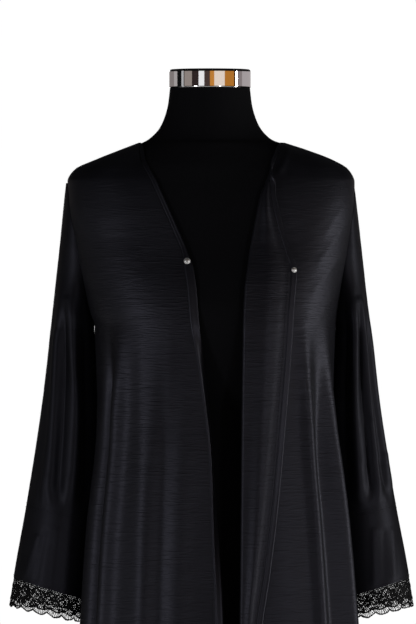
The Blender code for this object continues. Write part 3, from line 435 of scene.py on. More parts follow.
class BodyCloth:
    """The rings that the abaya's panels, bands and neckline are cut from."""

    STEPS = np.linspace(0.0, 1.0, 161)

    def __init__(self) -> None:
        """Makes the lines of the tables."""
        self.width = {R: column(BODY_SECTIONS, "right"), L: column(BODY_SECTIONS, "left")}
        self.depth = {F: column(BODY_SECTIONS, "front"), B: column(BODY_SECTIONS, "back")}
        self.square = column(BODY_SECTIONS, "square")

    def quarter(self, z: float, side: Side, half: Half, section: FormSection | None = None) -> tuple:
        """One quarter of a ring, from its centre line to its side line.

        Args:
            z: the ring's height.
            side: which side of the body.
            half: its front or back.
            section: another ring's sizes, or None for the cloth's own.

        Returns:
            The points, their outward directions and the lengths run to them.
        """
        if section is None:
            width, depth, square = self.width[side](z), self.depth[half](z), self.square(z)
        else:
            depth = section.front if half is F else section.back
            width, square = section.half, section.square
        near, far = self.STEPS ** (square / 2), (1 - self.STEPS) ** (square / 2)
        angle = math.pi / 2 * near / (near + far)
        x, y = np.sin(angle) ** (2 / square), np.cos(angle) ** (2 / square)
        points = np.stack([side.value * width * x, half.value * depth * y], 1)
        out = np.stack([side.value * x ** (square - 1) / width, half.value * y ** (square - 1) / depth], 1)
        return points, unit(out), runs(points)

    def swell(self, z: float, side: Side, half: Half, run: Any, length: float) -> Any:
        """The sum of the folds' heights at lengths run from a quarter's centre line."""
        total = np.zeros_like(run)
        for fold in FOLDS:
            if fold.side is side and fold.half is half:
                if z > LOW:
                    t = smooth((fold.start - z) / (fold.start - LOW))
                    share = fold.start_share + (fold.low_share - fold.start_share) * t
                else:
                    t = (LOW - z) / (LOW - HEM)
                    share = fold.low_share + (fold.hem_share - fold.low_share) * t
                grown = fold.height * smooth((fold.start - z) / fold.rise)
                grown += (fold.hem_height - fold.height) * np.clip((LOW - z) / (LOW - HEM), 0, 1)
                total += grown * hump(run - share * length, fold.spread)
        return total

    def points(self, z: float, side: Side, half: Half, run: Any, lift: Any = 0.0) -> Any:
        """Points of the cloth at lengths run from a quarter's centre line, moved out by lift."""
        ring, out, lengths = self.quarter(z, side, half)
        run = np.asarray(run, float)
        at = np.stack([np.interp(run, lengths, ring[:, i]) for i in (0, 1)], 1)
        away = np.stack([np.interp(run, lengths, out[:, i]) for i in (0, 1)], 1)
        at[:, 1] -= half.value * np.maximum(run - lengths[-1], 0.0)
        at += unit(away) * (self.swell(z, side, half, run, lengths[-1]) + lift)[:, None]
        return np.column_stack([at, np.full(len(run), z)])

    def front(self, z: float, run: Any, lift: Any) -> Any:
        """Points of the front by signed length from the centre, negative on the wearer's right."""
        run = np.asarray(run, float)
        lift = np.broadcast_to(np.asarray(lift, float), run.shape)
        made = np.empty((len(run), 3))
        for side, chosen in ((R, run < 0), (L, run >= 0)):
            if chosen.any():
                made[chosen] = self.points(z, side, F, np.abs(run[chosen]), lift[chosen])
        return made

    def length(self, z: float, side: Side, half: Half) -> float:
        """How long a quarter of the ring is."""
        return self.quarter(z, side, half)[2][-1]

    def run_at(self, z: float, x: float) -> float:
        """The signed length along the front at which the plain ring reaches this distance."""
        points, _, lengths = self.quarter(z, L if x >= 0 else R, F)
        return math.copysign(float(np.interp(abs(x), np.abs(points[:, 0]), lengths)), x)

    def side_limit(self, z: float, side: Side, half: Half) -> float:
        """The length along a quarter at which its panel ends: shoulder, armhole or side seam."""
        points, _, lengths = self.quarter(z, side, half)
        depth = armhole_y(z)
        if depth <= 0:
            return lengths[-1] - SEAM / 2
        return float(np.interp(-depth, -np.abs(points[:, 1]), lengths)) - ARMHOLE_SEAM


def armhole_y(z: float) -> float:
    """How far the armhole stands from the side line at this height, 0 where there is none."""
    middle, half_height = (SHOULDER_TIP + UNDERARM) / 2, (SHOULDER_TIP - UNDERARM) / 2
    inside = 1 - ((z - middle) / half_height) ** 2
    return ARMHOLE_DEPTH * math.sqrt(inside) if inside > 0 else 0.0


class FrontEdges:
    """The two front edges: the right one with its band, the left one turned back as a lapel."""

    right_roll = 0.0030
    lapel_roll = 0.0035
    neckline_band = 0.0076
    right_band_width = 0.0130
    left_band_width = 0.0092
    panel_share = 0.66
    roll_share = 0.76
    roll_part = 0.6
    widens_above = 0.015
    widens_below = 0.012
    flat_of_shoulder = 1.40
    flat_ease = 0.03
    thick_from = 1.430
    thick_ease = 0.02

    def __init__(self, cloth: BodyCloth) -> None:
        """Makes the lines of the tables, on this cloth."""
        self.cloth = cloth
        self.seam_x = column(RIGHT_EDGE, "seam_x")
        self.right_turn = column(RIGHT_EDGE, "turn")
        self.turn_x = column(LEFT_EDGE, "turn_x")
        self.lapel_turn = column(LEFT_EDGE, "turn")
        self.past_turn = column(LEFT_EDGE, "past")
        at, narrow = [V_POINT + self.widens_above, V_POINT - self.widens_below], self.neckline_band
        self.right_width = Line([NECK_TOP, *at, HEM], [narrow] * 2 + [self.right_band_width] * 2)
        self.left_width = Line([NECK_TOP, *at, HEM], [narrow] * 2 + [self.left_band_width] * 2)

    def gap(self, z: float) -> float:
        """The gap at a band's seam, wider on the flat of the shoulder, where it runs aslant."""
        return SEAM * (1 + float(smooth((z - self.flat_of_shoulder) / self.flat_ease)))

    def lift(self, z: float) -> float:
        """How far a band's wall stands out, so that its inner face is flush with the panel's."""
        return (BAND_WALL - WALL) / 2 * float(smooth((self.thick_from - z) / self.thick_ease))

    def rolled(
        self, z: float, start: float, past: Any, turn: float, radius: float, way: int, lift: float
    ) -> Any:
        """Cloth that leaves the ring at start, turns about a small roll and goes on straight.

        Args:
            z: the height.
            start: signed length along the front at which the turn begins.
            past: lengths of cloth beyond the start, negative before it.
            turn: the angle turned, in radians.
            radius: the roll's radius.
            way: the sign of the cloth's way along the front, 1 to turn in and -1 to turn back.
            lift: how far the whole stands out of the ring.

        Returns:
            The points.
        """
        before = np.minimum(past, 0.0)
        bent = np.clip(past, 0.0, radius * turn)
        straight = past - before - bent
        along = before + radius * np.sin(bent / radius) + straight * math.cos(turn)
        off = radius * (1 - np.cos(bent / radius)) + straight * math.sin(turn)
        return self.cloth.front(z, start + way * along, lift - way * off)

    def right_seam(self, z: float) -> float:
        """The signed length at which the right front meets its band."""
        return self.cloth.run_at(z, float(self.seam_x(z)))

    def right_front(self, z: float, share: Any) -> Any:
        """The right front panel, from its band's seam to the side."""
        start = -(self.right_seam(z) - self.gap(z) / 2)
        limit = self.cloth.side_limit(z, R, F)
        return self.cloth.front(z, -(start + (limit - start) * np.asarray(share, float)), 0.0)

    def right_band(self, z: float, share: Any) -> Any:
        """The right front's band, which turns in from its seam."""
        turn = math.radians(float(self.right_turn(z)))
        past = np.asarray(share, float) * float(self.right_width(z))
        start = self.right_seam(z) + self.gap(z) / 2
        return self.rolled(z, start, past, turn, self.right_roll, 1, self.lift(z))

    def lapel(self, z: float, past: Any, lift: float = 0.0) -> Any:
        """Points of the left front past its turn line."""
        turn = math.radians(float(self.lapel_turn(z)))
        start = self.cloth.run_at(z, float(self.turn_x(z)))
        return self.rolled(z, start, np.asarray(past, float), turn, self.lapel_roll, -1, lift)

    def left_front(self, z: float, share: Any) -> Any:
        """The left front with its lapel, from the side line to the band's seam.

        Args:
            z: the height.
            share: 0 at the side, panel_share at the turn line, roll_share past the roll, 1 at the band.

        Returns:
            The points.
        """
        share = np.asarray(share, float)
        turn_run = self.cloth.run_at(z, float(self.turn_x(z)))
        limit = self.cloth.side_limit(z, L, F)
        end = float(self.past_turn(z) - self.left_width(z)) - self.gap(z) / 2
        roll = min(self.lapel_roll * math.radians(float(self.lapel_turn(z))), self.roll_part * end)
        stops = [0.0, self.panel_share, self.roll_share, 1.0]
        return self.lapel(z, np.interp(share, stops, [turn_run - limit, 0.0, roll, end]))

    def left_band(self, z: float, share: Any) -> Any:
        """The left front's band, at the lapel's free edge."""
        end = float(self.past_turn(z))
        start = end - float(self.left_width(z)) + self.gap(z) / 2
        return self.lapel(z, start + np.asarray(share, float) * (end - start), self.lift(z))

    def neck_band(self, z: float, share: Any) -> Any:
        """The band round the back of the neck, from the right neckline to the left one."""
        share = np.asarray(share, float)
        right_edge = self.right_seam(z) + self.neckline_band
        left_edge = self.cloth.run_at(z, float(self.turn_x(z))) - self.neckline_band
        lengths = {(side, half): self.cloth.length(z, side, half) for side in Side for half in Half}
        stops = np.cumsum([
            0.0, lengths[R, F] + right_edge, lengths[R, B], lengths[L, B], lengths[L, F] - left_edge
        ])  # fmt: skip
        along = share * stops[-1]
        made = np.empty((len(share), 3))
        pieces = [
            (along < stops[1], R, F, along - right_edge),
            ((along >= stops[1]) & (along < stops[2]), R, B, stops[2] - along),
            ((along >= stops[2]) & (along < stops[3]), L, B, along - stops[2]),
            (along >= stops[3], L, F, left_edge + stops[4] - along),
        ]
        for chosen, side, half, run in pieces:
            if chosen.any():
                made[chosen] = self.cloth.points(z, side, half, run[chosen])
        return made


class AtHeight(NamedTuple):
    """One value of a sleeve's rings at a height."""

    z: float
    value: float


# How far a sleeve swells on its inner side, in metres
INNER_FULLNESS = table(
    AtHeight,
    (UNDERARM + 0.02, 0.0),
    (1.175, 0.00035),
    (1.120, 0.00050),
    (1.090, 0.00125),
    (1.060, 0.00400),
    (0.960, 0.00400),
    (0.900, 0.0),
)
# How far a sleeve's rings rise outwards, in degrees
RING_TILT = table(
    AtHeight,
    (UNDERARM + 0.05, 0.0),
    (UNDERARM, 0.0),
    (CUFF_SEAM, 12.0),
    (SLEEVE_HEM, 17.0),
    (0.758, 12.0),
    (0.708, 12.0),
)


@dataclass
class SleeveShape:
    """A sleeve's rings, open at the armhole and closed below it."""

    cloth: BodyCloth
    centre_y: float = 0.0050
    centre_ease: float = 0.3
    underarm_half_depth: float = 0.0440
    armhole_step: float = 0.0004
    head_gap: float = 0.0010
    head_flatness: float = math.radians(38.0)
    underarm_step: float = 0.0014
    underarm_from: float = 1.26
    underarm_ease: float = 0.06
    least_width: float = 0.0012
    fold_start: float = 1.25
    fold_ease: float = 0.12
    cuff_fade: float = 0.045
    armhole_fade: float = 0.5
    fullness_spread: float = math.radians(50.0)

    def __post_init__(self) -> None:
        """Makes the lines of the tables."""
        self.outer = {R: column(SLEEVE_STATIONS, "right_outer"), L: column(SLEEVE_STATIONS, "left_outer")}
        self.inner = {R: column(SLEEVE_STATIONS, "right_inner"), L: column(SLEEVE_STATIONS, "left_inner")}
        self.depth = column(SLEEVE_STATIONS, "half_depth")
        self.fullness = column(INNER_FULLNESS, "value")
        self.tilt = column(RING_TILT, "value")

    def ring(self, z: float, side: Side) -> tuple[float, float, float, float]:
        """A ring's centre distance, half-width, half-depth and greatest angle from its outer line."""
        outer = float(self.outer[side](z))
        if z < UNDERARM:
            inner = float(self.inner[side](z))
            return (outer + inner) / 2, (outer - inner) / 2, float(self.depth(z)), math.pi
        middle = (SHOULDER_TIP + UNDERARM) / 2
        upper = float(smooth((z - middle) / (SHOULDER_TIP - middle)))
        depth = armhole_y(z + self.head_gap * upper)
        if z > middle:
            reach = math.pi / 2 - self.head_flatness * upper
            half_depth = depth / math.sin(reach)
        else:
            grown = self.underarm_half_depth * float(smooth((middle - z) / (middle - UNDERARM)))
            half_depth = math.hypot(depth, grown)
            reach = math.pi - math.asin(depth / half_depth)
        points = self.cloth.quarter(z, side, F)[0]
        inner = float(np.interp(-depth, -np.abs(points[:, 1]), np.abs(points[:, 0])))
        lower = float(smooth((self.underarm_from - z) / self.underarm_ease))
        inner += self.armhole_step + self.underarm_step * lower
        half_width = max(outer - inner, self.least_width) / (1 - math.cos(reach))
        return outer - half_width, half_width, half_depth, reach

    def swell(self, z: float, side: Side, angle: Any, reach: float) -> Any:
        """The sum of the folds' heights, which run out at the armhole and at the cuff's seam."""
        total = np.zeros_like(angle)
        ends = smooth((z - CUFF_SEAM) / self.cuff_fade)
        if reach < math.pi:
            ends = ends * smooth((reach - np.abs(angle)) / self.armhole_fade)
        low = smooth((SHOULDER_TIP - z) / (SHOULDER_TIP - CUFF_SEAM))
        for fold in SLEEVE_FOLDS:
            if fold.side is side:
                at = math.radians(fold.top_angle + (fold.low_angle - fold.top_angle) * low)
                grown = smooth((self.fold_start - z) / self.fold_ease)
                total = total + fold.height * grown * ends * hump(angle - at, math.radians(fold.spread))
        return total + float(self.fullness(z)) * hump(np.abs(angle) - math.pi, self.fullness_spread)

    def at(self, z: float, angle: Any, side: Side) -> Any:
        """Points of a ring at angles from its outer line towards the front."""
        centre, half_width, half_depth, reach = self.ring(z, side)
        lift = self.swell(z, side, angle, reach)
        out_x, out_y = np.cos(angle) / half_width, np.sin(angle) / half_depth
        size = np.hypot(out_x, out_y)
        away = centre + half_width * np.cos(angle) + lift * out_x / size
        back = self.centre_y * smooth((SHOULDER_TIP - z) / self.centre_ease)
        y = back - half_depth * np.sin(angle) - lift * out_y / size
        tilt = math.tan(math.radians(float(self.tilt(z))))
        return np.column_stack([side.value * away, y, z + (away - centre) * tilt])

    def tube(self, z: float, share: Any, side: Side) -> Any:
        """A ring from the front of the armhole round the outside to its back."""
        reach = self.ring(z, side)[3]
        return self.at(z, reach * (1 - 2 * np.asarray(share, float)), side)


# Small folds of the cloth


class Crease(NamedTuple):
    """A ridge, or a trough, along points of the front view given as x and z, and the drop it grows over.

    It marks only the cloth in front of its back_limit.
    """

    path: tuple[Spot, ...]
    height: float
    spread: float
    ease: float = 0.0
    back_limit: float = 0.02

    def relief(self, points: np.ndarray) -> np.ndarray:
        """How far the crease moves each point, fading at its ends."""
        near = np.full(points.shape[:-1], 1.0)
        at = points[..., [0, 2]]
        for a, b in zip(np.array(self.path[:-1]), np.array(self.path[1:])):
            along = b - a
            t = np.clip(((at - a) @ along) / (along @ along), 0.0, 1.0)
            near = np.minimum(near, np.linalg.norm(at - a - t[..., None] * along, axis=-1))
        grown = smooth((self.path[0][1] - points[..., 2]) / self.ease) if self.ease else 1.0
        return self.height * grown * hump(near, self.spread) * (points[..., 1] < self.back_limit)


@dataclass(frozen=True)
class Crinkle:
    """The crepe's own small ripples across the cloth, which bow and break up."""

    seed: int
    height: float = 0.00042
    long_m: float = 0.060
    short_m: float = 0.0115
    bow: float = 0.9
    fine_size: Spot = (0.5, 0.55)
    patch_m: Spot = (0.08, 0.11)
    ridge_part: float = 0.75
    fine_part: float = 0.35
    patch_part: float = 0.35

    def relief(self, weave: np.ndarray) -> np.ndarray:
        """The ripples' height at places given in metres across and down the cloth."""
        across, down = weave[..., 0], weave[..., 1]
        bowed = down + self.bow * (across - np.mean(across)) ** 2
        coarse = Wrinkles(self.seed, self.long_m, self.short_m)(across, bowed)
        long_fine, short_fine = self.long_m * self.fine_size[0], self.short_m * self.fine_size[1]
        fine = Wrinkles(self.seed + 1, long_fine, short_fine)(across, bowed)
        patches = Wrinkles(self.seed + 2, *self.patch_m)(across, down)
        ridged = 1 - 2 * np.abs(coarse)
        strength = 1 - self.patch_part + self.patch_part * patches
        return self.height * (self.ridge_part * ridged + self.fine_part * fine) * strength


# Meshes


@dataclass
class ClothGrid:
    """A cloth's middle surface as rows of points, with its weave in metres across and down."""

    points: np.ndarray
    weave: np.ndarray
    closed_from: int

    @classmethod
    def cut(
        cls, surface: Callable[[float, Any], Any], rows: Any, columns: int, closed_below: float = -1.0
    ) -> ClothGrid:
        """Samples a surface.

        Args:
            surface: gives points at a height and shares of the row.
            rows: heights from the top down.
            columns: faces along a row.
            closed_below: the height under which a row's last point is its first one.

        Returns:
            The grid.
        """
        share = np.linspace(0.0, 1.0, columns + 1)
        points = np.stack([surface(float(z), share) for z in rows])
        across = runs(points)
        across -= across[:, -1:] / 2
        down = np.broadcast_to(-np.asarray(rows, float)[:, None], across.shape)
        closed = int(np.sum(np.asarray(rows) >= closed_below)) if closed_below > 0 else len(points)
        return cls(points, np.stack([across, down], axis=2), closed)

    def normals(self) -> np.ndarray:
        """The surface's unit normals, the same on both ends of a closed row."""
        across, down = np.gradient(self.points, axis=1), np.gradient(self.points, axis=0)
        tail = self.points[self.closed_from :]
        if len(tail):
            seam = (tail[:, 1] - tail[:, -2]) / 2
            across[self.closed_from :, 0] = across[self.closed_from :, -1] = seam
        normal = np.cross(across, down)
        return normal / np.maximum(np.linalg.norm(normal, axis=2, keepdims=True), 1e-12)

    def creased(self, creases: Sequence[Crease]) -> np.ndarray:
        """The sum of the creases' heights."""
        return sum((crease.relief(self.points) for crease in creases), np.zeros(self.points.shape[:2]))

    def edge_fade(self, reach: float) -> np.ndarray:
        """Nothing at the grid's four edges and 1 from reach inwards."""
        drop = runs(self.points.swapaxes(0, 1)).T
        half = np.abs(self.weave[:, [0], 0])
        side = half - np.abs(self.weave[..., 0])
        return smooth(np.minimum(np.minimum(drop, drop[-1] - drop), side) / reach)

    def move(self, relief: np.ndarray) -> None:
        """Moves the surface along its normals, outwards from the body where relief is positive."""
        normal = self.normals()
        middle = self.points.mean(axis=(0, 1))
        outward = np.sign(np.sum(normal * (self.points - middle * [1, 0, 1]), axis=2).sum())
        self.points = self.points + normal * (relief * (outward or 1.0))[..., None]

    def area(self) -> float:
        """The area of the cloth's middle surface."""
        diagonal = self.points[1:, 1:] - self.points[:-1, :-1]
        other = self.points[1:, :-1] - self.points[:-1, 1:]
        return float(np.linalg.norm(np.cross(diagonal, other), axis=2).sum() / 2)

    def wall(self, name: str, thickness: np.ndarray | float, material: Any) -> Any:
        """Gives the surface its wall, half on each side, with a rim round its edges.

        Args:
            name: the piece's name.
            thickness: the wall's, for the whole sheet or for each column.
            material: its finish.

        Returns:
            The new object.
        """
        rows, cols = self.points.shape[:2]
        index = np.arange(rows * cols).reshape(rows, cols)
        index[self.closed_from :, -1] = index[self.closed_from :, 0]
        offset = self.normals() * (np.broadcast_to(thickness, (rows, cols)) / 2)[..., None]
        outer, inner = (self.points + offset).reshape(-1, 3), (self.points - offset).reshape(-1, 3)

        def corners(grid: np.ndarray) -> np.ndarray:
            parts = [grid[:-1, :-1], grid[:-1, 1:], grid[1:, 1:], grid[1:, :-1]]
            return np.stack(parts, axis=2).reshape(-1, 4, *grid.shape[2:])

        faces, weave, count = corners(index), corners(self.weave), rows * cols
        edges = np.stack([faces, np.roll(faces, -1, axis=1)], axis=2).reshape(-1, 2)
        edge_weave = np.stack([weave, np.roll(weave, -1, axis=1)], axis=2).reshape(-1, 2, 2)
        key, back = edges[:, 0] * count + edges[:, 1], edges[:, 1] * count + edges[:, 0]
        rim = ~np.isin(key, back)
        a, b = edges[rim, 0], edges[rim, 1]
        rim_faces = np.stack([b, a, a + count, b + count], axis=1)
        rim_weave = edge_weave[rim][:, [1, 0, 0, 1]]
        all_faces = np.concatenate([faces, faces[:, ::-1] + count, rim_faces])
        all_weave = np.concatenate([weave, weave[:, ::-1], rim_weave])
        return mesh_object(name, np.concatenate([outer, inner]), all_faces, material, all_weave)

    def binding(self, name: str, thickness: float, bead: float, material: Any) -> Any:
        """Makes the surface a folded binding with rounded long edges and a bead on its last one.

        Args:
            name: the piece's name.
            thickness: at the middle of its width.
            bead: how much thicker the turned edge is.
            material: its finish.

        Returns:
            The new object.
        """
        bead_share, bead_spread, least = 0.84, 0.12, 0.03
        share = np.linspace(0.0, 1.0, self.points.shape[1])
        round_off = np.sqrt(np.maximum(1 - np.abs(2 * share - 1) ** 5, least))
        profile = (thickness + bead * hump(share - bead_share, bead_spread)) * round_off
        return self.wall(name, np.broadcast_to(profile, self.points.shape[:2]), material)


def add_object(name: str, data: Any) -> Any:
    """Adds an object with this data to the scene."""
    made = bpy.data.objects.new(name, data)
    bpy.context.scene.collection.objects.link(made)
    return made


def mesh_object(
    name: str, points: Any, faces: Any, material: Any, weave: Any = None, angle: float = 55.0
) -> Any:
    """Makes one object of a closed mesh, faces outwards, and its weave as a UV map.

    Args:
        name: the object's name.
        points: its corners in metres.
        faces: lists of corner numbers, or an array of them where there is a weave.
        material: its finish.
        weave: for each face corner the place across and down the cloth, or None.
        angle: degrees past which an edge shades sharp.

    Returns:
        The object.
    """
    points = np.asarray(points, float)
    mesh = bpy.data.meshes.new(name)
    if weave is not None:
        a, b, c, d = (points[faces[:, i]] for i in range(4))
        if np.sum(a * np.cross(b, c)) + np.sum(a * np.cross(c, d)) < 0:
            faces, weave = faces[:, ::-1], weave[:, ::-1]
        faces = faces.tolist()
    mesh.from_pydata(points.tolist(), [], faces)
    if weave is not None:
        layer = mesh.uv_layers.new(name="cloth")
        layer.data.foreach_set("uv", np.asarray(weave, float).reshape(-1))
    mesh.shade_smooth()
    mesh.set_sharp_from_angle(angle=math.radians(angle))
    mesh.materials.append(material)
    return add_object(name, mesh)


def lathe(name: str, profile: Sequence[Spot], steps: int, material: Any, place: Any = None) -> Any:
    """Turns a profile of radius and height, which starts and ends on the axis, into a closed solid.

    Args:
        name: the object's name.
        profile: from the lowest point on the axis to the highest one.
        steps: faces round it.
        material: its finish.
        place: a function from points about Z to their places, or None.

    Returns:
        The object.
    """
    turn = np.arange(steps) * 2 * math.pi / steps
    circle = np.column_stack([np.cos(turn), np.sin(turn), 0 * turn])
    rings = [circle * radius + [0, 0, height] for radius, height in profile[1:-1]]
    poles = np.array([[0, 0, profile[0][1]], [0, 0, profile[-1][1]]], float)
    points = np.concatenate([poles, *rings])
    here, there = np.arange(steps), (np.arange(steps) + 1) % steps
    faces: list[list[int]] = [[0, 2 + int(b), 2 + int(a)] for a, b in zip(here, there)]
    for row in range(len(rings) - 1):
        low, high = 2 + row * steps, 2 + (row + 1) * steps
        faces += [[low + int(a), low + int(b), high + int(b), high + int(a)] for a, b in zip(here, there)]
    last = 2 + (len(rings) - 1) * steps
    faces += [[1, last + int(a), last + int(b)] for a, b in zip(here, there)]
    return mesh_object(name, points if place is None else place(points), faces, material, angle=38.0)


def set_inputs(tree: Any, node: Any, inputs: dict) -> None:
    """Sets a node's inputs by name or number, each to a value or to the socket it comes from."""
    for name, value in inputs.items():
        if isinstance(value, bpy.types.NodeSocket):
            tree.links.new(value, node.inputs[name])
        else:
            node.inputs[name].default_value = value


def add_node(tree: Any, kind: str, inputs: dict | None = None, **settings: Any) -> Any:
    """Adds a node.

    Args:
        tree: the node tree.
        kind: the node's type.
        inputs: its inputs, as set_inputs takes them.
        settings: its properties by name.

    Returns:
        The node.
    """
    node = tree.nodes.new(kind)
    for name, value in settings.items():
        setattr(node, name, value)
    set_inputs(tree, node, inputs or {})
    return node


def maths(tree: Any, operation: str, *values: Any) -> Any:
    """The result of one operation on values or sockets."""
    return add_node(tree, "ShaderNodeMath", dict(enumerate(values)), operation=operation).outputs[0]


def linear(colour: str) -> tuple[float, float, float, float]:
    """Turns an sRGB hex colour into a linear one."""
    parts = [int(colour[i : i + 2], 16) / 255 for i in (1, 3, 5)]
    return (*[p / 12.92 if p <= 0.04045 else ((p + 0.055) / 1.055) ** 2.4 for p in parts], 1.0)


# Finishes


def new_finish(name: str) -> tuple[Any, Any, Any]:
    """An empty material with its tree and its Principled shader."""
    material = bpy.data.materials.new(name)
    material.use_nodes = True
    tree = material.node_tree
    return material, tree, tree.nodes["Principled BSDF"]


def object_place(tree: Any) -> Any:
    """The place on the object, in metres."""
    return add_node(tree, "ShaderNodeTexCoord").outputs["Object"]


def noise(tree: Any, place: Any, scale: Any, detail: float, roughness: float = 0.5) -> Any:
    """Noise over a place.

    Args:
        tree: the node tree.
        place: the socket of the place.
        scale: one number, or three numbers that stretch it.
        detail: how many finer layers it has.
        roughness: how strong they are.

    Returns:
        The socket of its value.
    """
    if isinstance(scale, tuple):
        place = add_node(tree, "ShaderNodeMapping", {"Vector": place, "Scale": scale}).outputs["Vector"]
        scale = 1.0
    values = {"Vector": place, "Scale": scale, "Detail": detail, "Roughness": roughness}
    return add_node(tree, "ShaderNodeTexNoise", values).outputs["Fac"]


def spread_over(tree: Any, value: Any, low: float, high: float, start: float = 0.0, end: float = 1.0) -> Any:
    """A value that runs from low to high while another runs from start to end.

    Args:
        tree: the node tree.
        value: the socket of the other one.
        low: what start gives.
        high: what end gives.
        start: where it begins.
        end: where it ends.

    Returns:
        The socket of the new value.
    """
    values = {"Value": value, "From Min": start, "From Max": end, "To Min": low, "To Max": high}
    return add_node(tree, "ShaderNodeMapRange", values).outputs["Result"]


def two_tones(tree: Any, amount: Any, deep: str, raised: str, start: float = 0.0, end: float = 1.0) -> Any:
    """A colour that runs from deep to raised while an amount runs from start to end.

    Args:
        tree: the node tree.
        amount: the amount's socket.
        deep: the colour at the start.
        raised: the colour at the end.
        start: where it begins.
        end: where it ends.

    Returns:
        The socket of the colour.
    """
    ramp = add_node(tree, "ShaderNodeValToRGB", {"Fac": amount})
    for stop, colour, at in zip(ramp.color_ramp.elements, (deep, raised), (start, end)):
        stop.color = linear(colour)
        stop.position = at
    return ramp.outputs["Color"]


def bump(tree: Any, height: Any, depth: float, strength: float = 1.0, under: Any = None) -> Any:
    """The normal of a small relief.

    Args:
        tree: the node tree.
        height: the socket of its height, from 0 to 1.
        depth: how far that reaches, in metres.
        strength: how much of it shows.
        under: the normal of a relief below it, or None.

    Returns:
        The socket of the normal.
    """
    values = {"Height": height, "Distance": depth, "Strength": strength}
    values |= {} if under is None else {"Normal": under}
    return add_node(tree, "ShaderNodeBump", values).outputs["Normal"]


@dataclass(frozen=True)
class SatinCrepe:
    """Polyester satin crepe, woven from twisted yarn and dyed black in the piece.

    The long floats of its face give a soft streaked gloss, and the twist draws
    it up in fine ripples. The yarns are 0.25 mm apart and too fine to show, so
    the grain is drawn about five times coarser.
    """

    name: str
    deep: str = "#050507"
    raised: str = "#0b0b0e"
    gloss: str = "#e8e8ff"
    haze: str = "#c8c8d2"
    gloss_low: float = 0.45
    gloss_high: float = 0.54
    level: float = 0.36
    sheen: float = 0.02
    grain_mm: Spot = (2.4, 1.2)
    ripple_mm: Spot = (46.0, 5.6)
    patch_mm: Spot = (70.0, 90.0)
    grain_depth_mm: float = 0.1
    ripple_depth_mm: float = 2.6
    yoke_ripple: float = 0.35
    yoke_from: float = 1.20
    yoke_to: float = 1.36
    calm_patch: float = 0.45

    def build(self) -> Any:
        """Makes the material on the piece's own weave."""
        material, tree, shader = new_finish(self.name)
        weave = add_node(tree, "ShaderNodeUVMap", uv_map="cloth").outputs["UV"]
        ripple, grain, patch = (
            noise(tree, weave, (1000 / size[0], 1000 / size[1], 1.0), detail, 0.55)
            for size, detail in ((self.ripple_mm, 3.0), (self.grain_mm, 2.0), (self.patch_mm, 2.0))
        )
        z = add_node(tree, "ShaderNodeSeparateXYZ", {"Vector": object_place(tree)}).outputs["Z"]
        by_height = spread_over(tree, z, 1.0, self.yoke_ripple, self.yoke_from, self.yoke_to)
        by_patch = spread_over(tree, patch, self.calm_patch, 1.0, 0.28, 0.72)
        crest = maths(tree, "ABSOLUTE", maths(tree, "SUBTRACT", ripple, 0.5))
        crest = maths(tree, "MULTIPLY", crest, maths(tree, "MULTIPLY", by_height, by_patch))
        rippled = bump(tree, crest, self.ripple_depth_mm / 1000, 0.8)
        inputs = {
            "Base Color": two_tones(tree, patch, self.deep, self.raised, 0.35, 0.65),
            "Roughness": spread_over(tree, ripple, self.gloss_low, self.gloss_high),
            "Normal": bump(tree, grain, self.grain_depth_mm / 1000, 0.6, rippled),
            "Specular IOR Level": self.level,
            "Specular Tint": linear(self.gloss),
            "Sheen Weight": self.sheen,
            "Sheen Roughness": 0.45,
            "Sheen Tint": linear(self.haze),
        }
        set_inputs(tree, shader, inputs)
        return material


@dataclass(frozen=True)
class SpunThread:
    """Mercerised cotton thread, twisted, which gives a dull cord with small glints and painted shade in the
    grooves of its twist.
    """

    name: str
    # raised is the tone on the twist's tops and deep the tone in its grooves: painted shade.
    raised: str = "#08080a"
    roughness: float = 0.7
    deep: str = "#030304"
    twist_mm: float = 1.6

    def build(self) -> Any:
        """Makes the material on Object coordinates."""
        material, tree, shader = new_finish(self.name)
        # The twist's noise drives both the bump and the colour, so the grooves get the deep tone: painted
        # shade.
        twist = noise(tree, object_place(tree), 1000 / self.twist_mm, 1.0)
        inputs = {
            "Base Color": two_tones(tree, twist, self.deep, self.raised),
            "Normal": bump(tree, twist, 0.0002),
            "Roughness": self.roughness,
            "Specular IOR Level": 0.18,
        }
        set_inputs(tree, shader, inputs)
        return material


class Lay(Enum):
    """Which way a metal's polishing marks run."""

    ROUND = (30.0, 30.0, 900.0)
    UPRIGHT = (700.0, 700.0, 12.0)
    EVEN = (420.0, 420.0, 420.0)


@dataclass(frozen=True)
class WorkedMetal:
    """A plated, turned or brushed metal. Its fine marks stretch and blur what it mirrors."""

    name: str
    colour: str
    smooth_low: float
    smooth_high: float
    lay: Lay
    mark_depth_mm: float = 0.004

    def build(self) -> Any:
        """Makes the material on Object coordinates."""
        material, tree, shader = new_finish(self.name)
        marks = noise(tree, object_place(tree), self.lay.value, 3.0)
        inputs = {
            "Base Color": linear(self.colour),
            "Metallic": 1.0,
            "Roughness": spread_over(tree, marks, self.smooth_low, self.smooth_high),
            "Normal": bump(tree, marks, self.mark_depth_mm / 1000, 0.5),
        }
        set_inputs(tree, shader, inputs)
        return material


